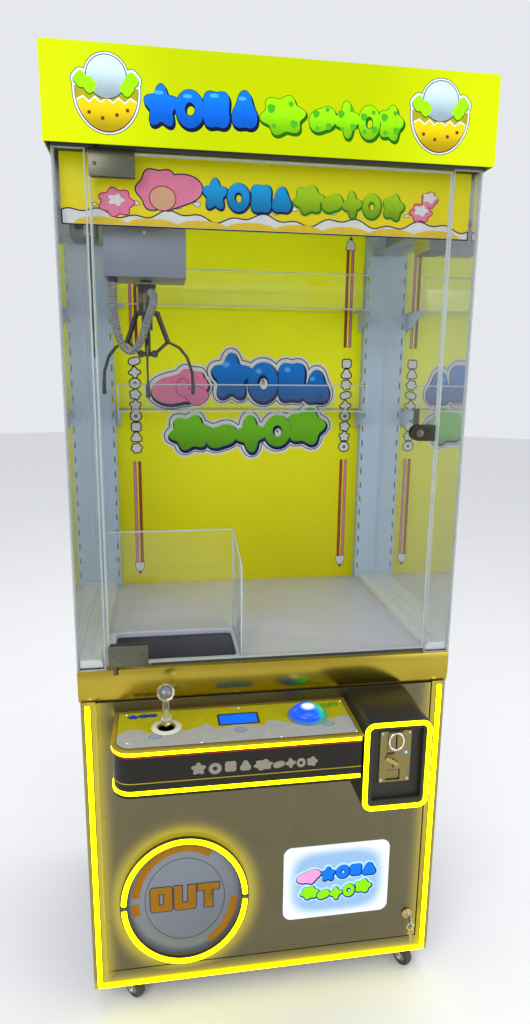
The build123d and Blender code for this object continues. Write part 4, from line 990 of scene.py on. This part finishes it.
# ---- pivot patches and lock of the glass door ----
# Brushed steel clamps, screwed through the pane at its left corners, hold the door's pivots.
# The lock on the right is a black case with a steel cam.
patch_steel = brushed("patch_steel", (0.12, 0.12, 0.088), 0.34, (0.05, 1, 3))
second_finish(soften("door_fittings", 0.9, patch_steel), hood_black, lambda spot, out: spot.x > 0)
soften("door_lock_cam", 0.6, patch_steel)
cap_screws = [(screw_shape, facing(x, -4, z), patch_steel) for x in (-326, -266) for z in (1797, 872)]
part("patch_screws", "glass_door", cap_screws, slot="patch_steel")


# ---- posts, channels and header ----
# Perforated pale blue-grey posts at the back, white covers along the foot of the side panes,
# and black square tubes over the glass.
post_paint = coat("post_paint", (0.40, 0.50, 0.62), 0.42, mottle=0.06, grain=900, depth=0.12)
white_paint = coat("white_cover", (0.70, 0.71, 0.74), 0.4, mottle=0.05, grain=900, depth=0.15)
soften("rear_posts", 0.7, post_paint)
soften("side_channels", 1.2, white_paint)
soften("header_frame", 1.0, frame_black)
lamp_white = lit("cabinet_lamp", (0.95, 1.0, 0.97), 24.0)
part("cabinet_lamps", "cabinet", [
    (rod([(-325, 44, 1817), (325, 44, 1817)], 4.5), here, lamp_white),
    (flat([round_rect(664, 14, 2)], 2, 0, 0.4), lying(0, 44, 1821.6), white_paint)], slot="white_cover")


# ---- playfield, prize hole and clear guard ----
# A pale laminated board lies on the belt, with a square hole over the chute.
# The guard round the hole is two sides of bent clear acrylic, screwed to the board.
field, place = plain("playfield_laminate", Roughness=0.4)
speck, cloud = place.noise(420, 3), place.noise(5, 3)
((speck - 0.5) * 0.4 + cloud).blend((0.64, 0.63, 0.78), (0.76, 0.75, 0.90)).feed("Base Color")
soften("playfield_floor", 0.8, field)
acrylic = clear("acrylic_sheet", (0.92, 0.96, 0.97), 0.05, 0.9)
acrylic_edge = edge_glow("acrylic_edge", (0.80, 0.90, 0.92), 0.8)
soften("chute_guard", 0.5, acrylic, segments=1)
low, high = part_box("chute_guard")
gx, gy = high.x * 1000 - 2, [(v - front_y) * 1000 for v in (low.y, high.y)]
slope = [(gx, gy[0] + 1, 844), (gx, gy[0] + 1, 1030), (gx, gy[0] + 4, 1043), (gx, gy[0] + 14, 1049),
         (gx, gy[1] - 12, 1082.5), (gx, gy[1] - 2, 1082.5)]
guard_lines = [(slope, 1.9), ([(gx, gy[1] - 2, 1082.4), (low.x * 1000 + 2, gy[1] - 2, 1082.4)], 1.8),
               ([(gx, gy[1] - 2, 845), (gx, gy[1] - 2, 1082)], 1.6),
               ([(gx, gy[0] + 2, 844.8), (gx, gy[1] - 2, 844.8)], 1.7)]
part("guard_edge", "cabinet", [(rod(points, r, sides=2), here, acrylic_edge) for points, r in guard_lines],
     slot="acrylic")


# ---- display shelves ----
# Two shelves of clear acrylic, each bent up into a fence in front.
# They lie on curved gussets that are hooked into the rear posts.
soften("shelves", 0.4, acrylic, segments=1)
shelf_lines = []
for low, high in sheets_of("shelves"):
    y = low.y - front_y * 1000 + 2
    back = high.y - front_y * 1000
    shelf_lines += [[(low.x + 1, y, z), (high.x - 1, y, z)] for z in (low.z + 2, high.z - 1.8)]
    shelf_lines += [[(x, y, high.z - 2), (x, y, low.z + 2), (x, back - 2, low.z + 2)]
                    for x in (low.x + 2, high.x - 2)]
part("shelf_edge", "cabinet", [(rod(points, 1.6, sides=2), here, acrylic_edge) for points in shelf_lines],
     slot="acrylic")


# ---- printed back panel ----
# A board with a yellow printed face, fixed between the rear posts.
# Its print has pencil-like bars beside the posts, strips of small toy shapes and a large toy badge.
# Painted light: the yellow is darker low down and brighter towards the top, under the cabinet lamp, and the face
# glows faintly in the same shades, though it is no lamp.
back_yellow, place = plain("back_print", Roughness=0.35, Specular_IOR_Level=0.15, Emission_Strength=0.14)
x, y, z = place.axes()
fall = (z - 0.843).ramp(0.0, 0.95)
painted_lamp_falloff = (place.noise(3, 3) - 0.5) * 0.3 + fall
painted_lamp_falloff.blend((0.54, 0.52, 0.0), (0.74, 0.78, 0.0)).feed("Base Color")
painted_lamp_falloff.blend((0.5, 0.46, 0.0), (0.8, 0.86, 0.0)).feed("Emission Color")
panel_back = coat("panel_back", (0.42, 0.42, 0.40), 0.5, mottle=0.08, grain=600)
second_finish(soften("back_panel", 0.6, back_yellow), panel_back, lambda spot, out: out.y > -0.5)
board_white = ink("board_white", (0.66, 0.67, 0.66))
board_dark = ink("board_dark", (0.01, 0.012, 0.015))
board_blue = ink("board_blue", (0.005, 0.17, 0.62), fade=(1345, 1475))
board_navy = ink("board_navy", (0.002, 0.012, 0.08))
board_green = ink("board_green", (0.17, 0.55, 0.01), fade=(1215, 1330))
board_leaf = ink("board_leaf", (0.02, 0.2, 0.01))
bar_red = ink("bar_red", (0.36, 0.05, 0.02))
bar_pink = ink("bar_pink", (0.68, 0.18, 0.36))
panel_face = facing(0, front_of("back_panel"), 0)
panel_print = []
for side in (-1, 1):
    x = 298 if side > 0 else -285
    for z0, z1 in ((1507, 1762), (905, 1192)):
        for dx, finish in ((-6.6, bar_red), (6.6, bar_pink)):
            stripe = [[(-2.9, z0), (2.9, z0), (2.9, z1), (-2.9, z1)]]
            panel_print += stack(panel_face, [(stripe, x + dx * side, 0)],
                                 [(1.2, 0, 0, board_dark), (0, 0, 0, finish)])
    for base, tip in ((1762, 1794), (905, 873)):
        sign = 1 if tip > base else -1
        nib = [[(-12, base), (12, base), (11, base + sign * 14), (0, tip), (-11, base + sign * 14)]]
        lead = [[(-4, tip - sign * 8), (4, tip - sign * 8), (0, tip)]]
        panel_print += stack(panel_face, [(nib, x, 0)], [(1.6, 0, 0, board_dark), (0, 0, 0, board_white)])
        panel_print += stack(raised(panel_face, 0.3), [(lead, x, 0)], [(0, 0, 0, board_dark)])
    shapes = toy_row([(x, 1462 - 29 * i, 27, 25) for i in range(9)], 2 if side > 0 else 5)
    panel_print += stack(panel_face, shapes, [(3.2, 0, 0, board_dark), (0, 0, 0, board_white)])
part("back_bars", "cabinet", panel_print, slot="back_print")
blue_spots = [(-26, 1423, 104, 122), (62, 1410, 84, 108), (142, 1412, 86, 118), (212, 1394, 74, 96)]
blues = toy_row(blue_spots)
greens = toy_row([(-140, 1272, 112, 96), (-54, 1262, 82, 86), (28, 1268, 86, 96), (104, 1276, 76, 88),
                  (186, 1288, 108, 104)], 4)
bow = [([lobed(2, 0.22, 128, 92, 0.35)], -166, 1392), ([lobed(7, 0.07, 96, 84)], -140, 1400)]
cheek = [([lobed(4, 0.06, 60, 48)], -120, 1372)]
badge = stack(panel_face, blues + greens + bow, [(19, 0, -1, board_white), (13.5, 0, -1, board_dark),
                                                 (11, 0, -1, board_white), (4.5, 2, -5, board_navy)], 0.2)
front_face = raised(panel_face, 0.9)
badge += stack(front_face, blues, [(0, 0, 0, board_blue)]) + stack(front_face, greens, [(0, 0, 0, board_green)])
badge += stack(front_face, bow, [(0, 0, 0, pink_ink)])
knot = [([lobed(0, 0, 34, 46)], -158, 1394)]
badge += stack(raised(front_face, 0.3), cheek + knot, [(2, 0, 0, rose_ink), (0, 0, 0, bar_pink)])
glints = [([lobed(0, 0, w * 0.2, h * 0.12, 0)], x - w * 0.14, z + h * 0.27)
          for x, z, w, h in blue_spots]
light_blue = ink("light_blue", (0.08, 0.36, 0.85))
badge += stack(raised(front_face, 0.2), glints, [(0, 0, 0, light_blue)])
part("back_badge", "cabinet", badge, slot="back_print")


# ---- inner banner ----
# A thin printed plastic strip, fixed to the header behind the glass to hide the crane's rails.
# It shows toy shapes over a foamy wave, with a pink bow on the left.
# The yellow turns more orange towards the bottom. The face's faint emission in the same colours is painted light: the
# strip is no lamp.
strip_yellow, place = plain("banner_print", Roughness=0.35, Specular_IOR_Level=0.12, Emission_Strength=0.16)
x, y, z = place.axes()
fall = place.noise(4, 3) * 0.4 + (z - 1.70).ramp(0.0, 0.12) * 0.6
fall.blend((0.62, 0.48, 0.01), (0.50, 0.52, 0.0)).feed("Base Color")
fall.blend((0.9, 0.7, 0.0), (0.8, 0.82, 0.0)).feed("Emission Color")
soften("inner_banner", 0.4, strip_yellow)
banner_face = facing(0, 30, 0)
crest = [(-388 + 8 * i, 1722 + 6 * math.sin(i * 0.31) + 4 * math.sin(i * 0.83 + 1)) for i in range(98)]
foam = [[*crest, (388, 1703), (-388, 1703)]]
banner = stack(banner_face, [(foam, 0, 0)], [(2.4, 0, 0, board_navy), (0, 0, 0, board_white)])
sand = ink("sand_ink", (0.68, 0.50, 0.03))
hills = [([[(r[0], max(r[1], 0)) for r in lobed(0, 0, 96, 26)]], x, 1703.4) for x in range(-320, 360, 92)]
banner += stack(raised(banner_face, 0.3), hills, [(0, 0, 0, sand)])
drops = [([lobed(3, 0.1, 8 + (i * 5) % 7, 5 + (i * 3) % 4, i)], -330 + 37 * i, 1737 + (i * 7) % 9)
         for i in range(18)]
banner += stack(banner_face, drops, [(1, 0, 0, board_navy), (0, 0, 0, board_white)])
part("banner_wave", "cabinet", banner, slot="banner_print")
sky_blue = ink("sky_blue", (0.005, 0.32, 0.74), fade=(1730, 1785))
lime = ink("lime_ink", (0.34, 0.58, 0.01), fade=(1728, 1782))
upper = raised(banner_face, 0.5)
blues = toy_row([(-112, 1763, 44, 54), (-68, 1760, 42, 50), (-25, 1760, 44, 56), (14, 1757, 38, 48)])
greens = toy_row([(66, 1762, 58, 50), (112, 1758, 38, 42), (151, 1757, 36, 44), (190, 1756, 36, 44),
                  (233, 1756, 42, 46)], 4)
banner = stack(upper, blues, [(2.6, 1, -2, board_navy), (0, 0, 0, sky_blue)])
banner += stack(upper, greens, [(2.6, 1, -2, board_leaf), (0, 0, 0, lime)])
bow = [([lobed(2, 0.2, 92, 62, 0.5)], -188, 1764), ([lobed(6, 0.08, 78, 70)], -214, 1766)]
banner += stack(upper, bow, [(2.4, 0, 0, board_navy), (0, 0, 0, pink_ink)])
peach = ink("peach_ink", (0.62, 0.36, 0.22))
banner += stack(raised(upper, 0.3), [([lobed(0, 0, 46, 40)], -208, 1752)], [(2, 0, 0, rose_ink), (0, 0, 0, peach)])
clouds = [([lobed(7, 0.12, 58, 44)], -292, 1742), ([lobed(6, 0.14, 40, 30)], 290, 1748),
          ([lobed(5, 0.12, 30, 26)], 306, 1772)]
banner += stack(upper, clouds, [(2, 0, 0, rose_ink), (0, 0, 0, pink_ink)])
banner += stack(raised(upper, 0.4), [([lobed(5, 0.2, 26, 18)], x, z + 4) for _, x, z in clouds],
                [(0, 0, 0, board_white)])
part("banner_toys", "cabinet", banner, slot="banner_print")


# ---- lit marquee ----
# A lamp box of painted sheet metal on top of the header, with an acrylic face lit from behind.
# The face is printed with toy shapes and has a capsule badge at each end.
face_yellow, place = plain("marquee_face", Roughness=0.4, Specular_IOR_Level=0.04, Emission_Strength=1.0)
x, y, z = place.axes()
towards_ends, rise = x.math("ABSOLUTE").ramp(0.12, 0.40), (z - 1.823).ramp(0.0, 0.155)
tone = towards_ends + (place.noise(3, 2) - 0.5) * 0.3 - rise * 0.15
tone.blend((0.55, 0.70, 0.0), (0.74, 0.92, 0.0)).feed("Emission Color")
tone.blend((0.07, 0.08, 0.0), (0.09, 0.10, 0.0)).feed("Base Color")
shell_yellow = coat("marquee_shell", (0.34, 0.36, 0.004), 0.4, 0.1, mottle=0.08, grain=700, Specular_IOR_Level=0.2)
soften("marquee_face", 1.2, face_yellow)
soften("marquee_housing", 1.0, shell_yellow)
sign_face = facing(0, front_of("marquee_face"), 0)
sign_blue = ink("sign_blue", (0.0, 0.13, 0.72), 0.45, fade=(1856, 1912))
sign_navy = ink("sign_navy", (0.0, 0.006, 0.03))
sign_green = ink("sign_green", (0.24, 0.66, 0.0), 0.45, fade=(1850, 1908))
sign_leaf = ink("sign_leaf", (0.01, 0.13, 0.0), 0.05)
sign_spot = ink("sign_spot", (0.06, 0.36, 0.01), 0.3)
sign_sky = ink("sign_sky", (0.04, 0.30, 0.9), 0.5)
blue_spots = [(-208, 1886, 56, 66), (-159, 1885, 50, 60), (-113, 1887, 52, 66), (-64, 1886, 46, 64)]
green_spots = [(4, 1885, 80, 64), (76, 1883, 46, 54), (121, 1885, 44, 56), (162, 1883, 40, 56), (202, 1884, 46, 58)]
blues, greens = toy_row(blue_spots), toy_row(green_spots, 4)
sign = stack(sign_face, blues, [(2.2, 2, -4, sign_navy), (1.2, 0, 0, sign_navy), (0, 0, 0, sign_blue)])
sign += stack(sign_face, greens, [(2.2, 2, -3.5, sign_leaf), (1.2, 0, 0, sign_leaf), (0, 0, 0, sign_green)])
over = raised(sign_face, 0.5)
glints = [([lobed(0, 0, w * 0.3, h * 0.1)], x - w * 0.08, z + h * 0.33) for x, z, w, h in blue_spots]
sign += stack(over, glints, [(0, 0, 0, sign_sky)])
for dx, dy, size in ((-0.26, 0.16, 0.22), (0.25, -0.2, 0.2), (0.18, 0.3, 0.14), (-0.2, -0.28, 0.13)):
    dots = [([lobed(3, 0.08, h * size, h * size, 0.4)], x + w * dx, z + h * dy) for x, z, w, h in green_spots]
    sign += stack(over, dots, [(0, 0, 0, sign_spot)])
part("marquee_toys", "cabinet", sign, slot="marquee_print")

sign_white = ink("sign_white", (0.55, 0.62, 0.66), 0.4)
sign_pale = ink("sign_pale", (0.42, 0.56, 0.62), 0.45, fade=(1895, 1945))
sign_amber = ink("sign_amber", (0.62, 0.46, 0.0), 0.35, fade=(1845, 1885))
sign_red = ink("sign_red", (0.18, 0.02, 0.01))
for label, x in (("left", -299), ("right", 295)):
    shell = [(px, 1904 + pz) for px, pz in oval(52, 62, 180, 360, 32)]
    rounding = [[*shell, (52, 1910), (-52, 1910)]]
    zigzag = [(-49, 1888), *[(-49 + 9.8 * i, 1888 + (5 if i % 2 else -3)) for i in range(1, 10)], (49, 1888)]
    lower = [(px * 0.985, pz) for px, pz in reversed(shell) if pz < 1888]
    bush = [([lobed(4, 0.08, 22, 24)], x + dx, z) for dx, z in ((-42, 1920), (42, 1922), (-28, 1912), (34, 1910))]
    ball = [([lobed(0, 0, 66, 66)], x, 1926)]
    badge = stack(sign_face, [(rounding, x, 0)] + ball + bush, [(5.5, 0, 0, sign_navy), (4.4, 0, 0, sign_white)])
    badge += stack(over, [(rounding, x, 0)], [(0.8, 0, -1.2, sign_red), (0, 0, 0, print_yellow)])
    bowl = [([[*zigzag, *lower]], x, 0)]
    gleam = [([lobed(0, 0, 20, 9)], x - 9, 1945)]
    dots = [([lobed(5, 0.15, 6, 6)], x + dx, z) for dx, z in ((-30, 1870), (-8, 1862), (16, 1868), (34, 1876))]
    badge += stack(raised(over, 0.3), bowl, [(1, 0, 1.6, sign_white), (0, 0, 0, sign_amber)])
    badge += stack(raised(over, 0.4), ball, [(1.3, 0, 0, sign_navy), (0, 0, 0, sign_pale)])
    badge += stack(raised(over, 0.5), bush, [(0.8, 0, -1, sign_leaf), (0, 0, 0, sign_green)])
    badge += stack(raised(over, 0.7), gleam, [(0, 0, 0, sign_white)])
    badge += stack(raised(over, 0.7), dots, [(0, 0, 0, sign_red)])
    part(f"marquee_capsule_{label}", "cabinet", badge, slot="marquee_print")


# ---- overhead crane ----
# Zinc side rails hung from the header, a bridge of two beams on trucks with nylon rollers,
# and a carriage whose hoist is hidden by a folded grey cover.
crane_paint = coat("crane_paint", (0.17, 0.20, 0.26), 0.38, 0.1, mottle=0.06, grain=800, depth=0.15)
beam_alloy = brushed("beam_alloy", (0.52, 0.53, 0.55), 0.34, (0.05, 1, 1))
truck_grey = coat("truck_grey", (0.20, 0.22, 0.27), 0.4, 0.1, mottle=0.08)
soften("gantry_rails", 0.4, zinc)
truck_x = 0.335
second_finish(soften("bridge_beam", 0.8, beam_alloy), truck_grey, lambda spot, out: abs(spot.x) > truck_x)
soften("carriage_chassis", 0.5, zinc)
soften("carriage_cover", 1.0, crane_paint)
soften("hoist_drum", 0.6, core_white)
grommet = lathe([(4, -1.6), (6, -2.6), (11, -2.2), (12, -0.6), (12, 0), (8.6, 0.4), (8.6, 2), (4, 2), (4, -1.6)])
rope_x, rope_y = -243, 130
part("rope_grommet", "carriage", [(grommet, lying(rope_x, rope_y, 1618), seal_black)], slot="cord_grey")
cover_face = front_of("carriage_cover")
part("cover_screws", "carriage", [(screw_shape, facing(x, cover_face, z), zinc) for x, z in
                                  ((-244, 1699), (-306, 1728), (-180, 1728))], slot="crane_grey")
gland = lathe([(3, 0.3), (9, 0.3), (9.6, -1), (9.6, -5), (8.2, -8), (3, -8), (3, 0.3)])
part("cord_gland", "carriage", [(gland, lying(-306, 84, 1617.6), seal_black)], slot="cord_grey")


# ---- hoist rope and claw ----
# A braided rope carries a solenoid in a dark plated can. Its plunger draws three links up,
# which close the three curved prongs.
strands = []
rope_points, rope_turns, rope_low, rope_length, strand_out = 100, 16, 1610, 80, 0.52
for phase in range(3):
    path = []
    for i in range(rope_points):
        share = i / (rope_points - 1)
        a = 2 * math.pi * (phase / 3 + share * rope_turns)
        path.append((rope_x + strand_out * math.cos(a), rope_y + strand_out * math.sin(a),
                     rope_low + rope_length * share))
    strands.append((rod(path, 0.47, sides=2), here, core_white))
rope = part("braided_rope", "carriage", strands, ["hoist_rope"], "rope")
rope.parent = None
del rope["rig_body"]
at(rope_x, rope_y, 1612)
at(rope_x, rope_y, 1688)
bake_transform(rope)
coil_dark = coat("coil_plating", (0.055, 0.055, 0.058), 0.34, 0.8, mottle=0.2, grain=500, depth=0.2)
claw_metal = coat("claw_plating", (0.060, 0.058, 0.052), 0.28, 0.85, mottle=0.2, grain=300, depth=0.15)
tip_rubber = coat("tip_coating", (0.04, 0.04, 0.04), 0.45)
soften("claw_coil", 0.5, coil_dark)
soften("claw_hub", 0.5, claw_metal)
tip_top = 1.408
for number in (1, 2, 3):
    soften(f"claw_link_{number}", 0.4, claw_metal)
    prong = soften(f"claw_prong_{number}", 0.9, claw_metal)
    second_finish(prong, tip_rubber, lambda spot, out: spot.z < tip_top)
tape = lathe([(17.6, -9), (18.2, -9), (18.2, 9), (17.6, 9), (17.6, -9)])
winding = coat("winding_tape", (0.11, 0.08, 0.04), 0.35, mottle=0.2)
part("coil_winding", "claw", [(tape, lying(rope_x, rope_y, 1583), winding)], slot="coil_steel")


bpy.context.view_layer.update()
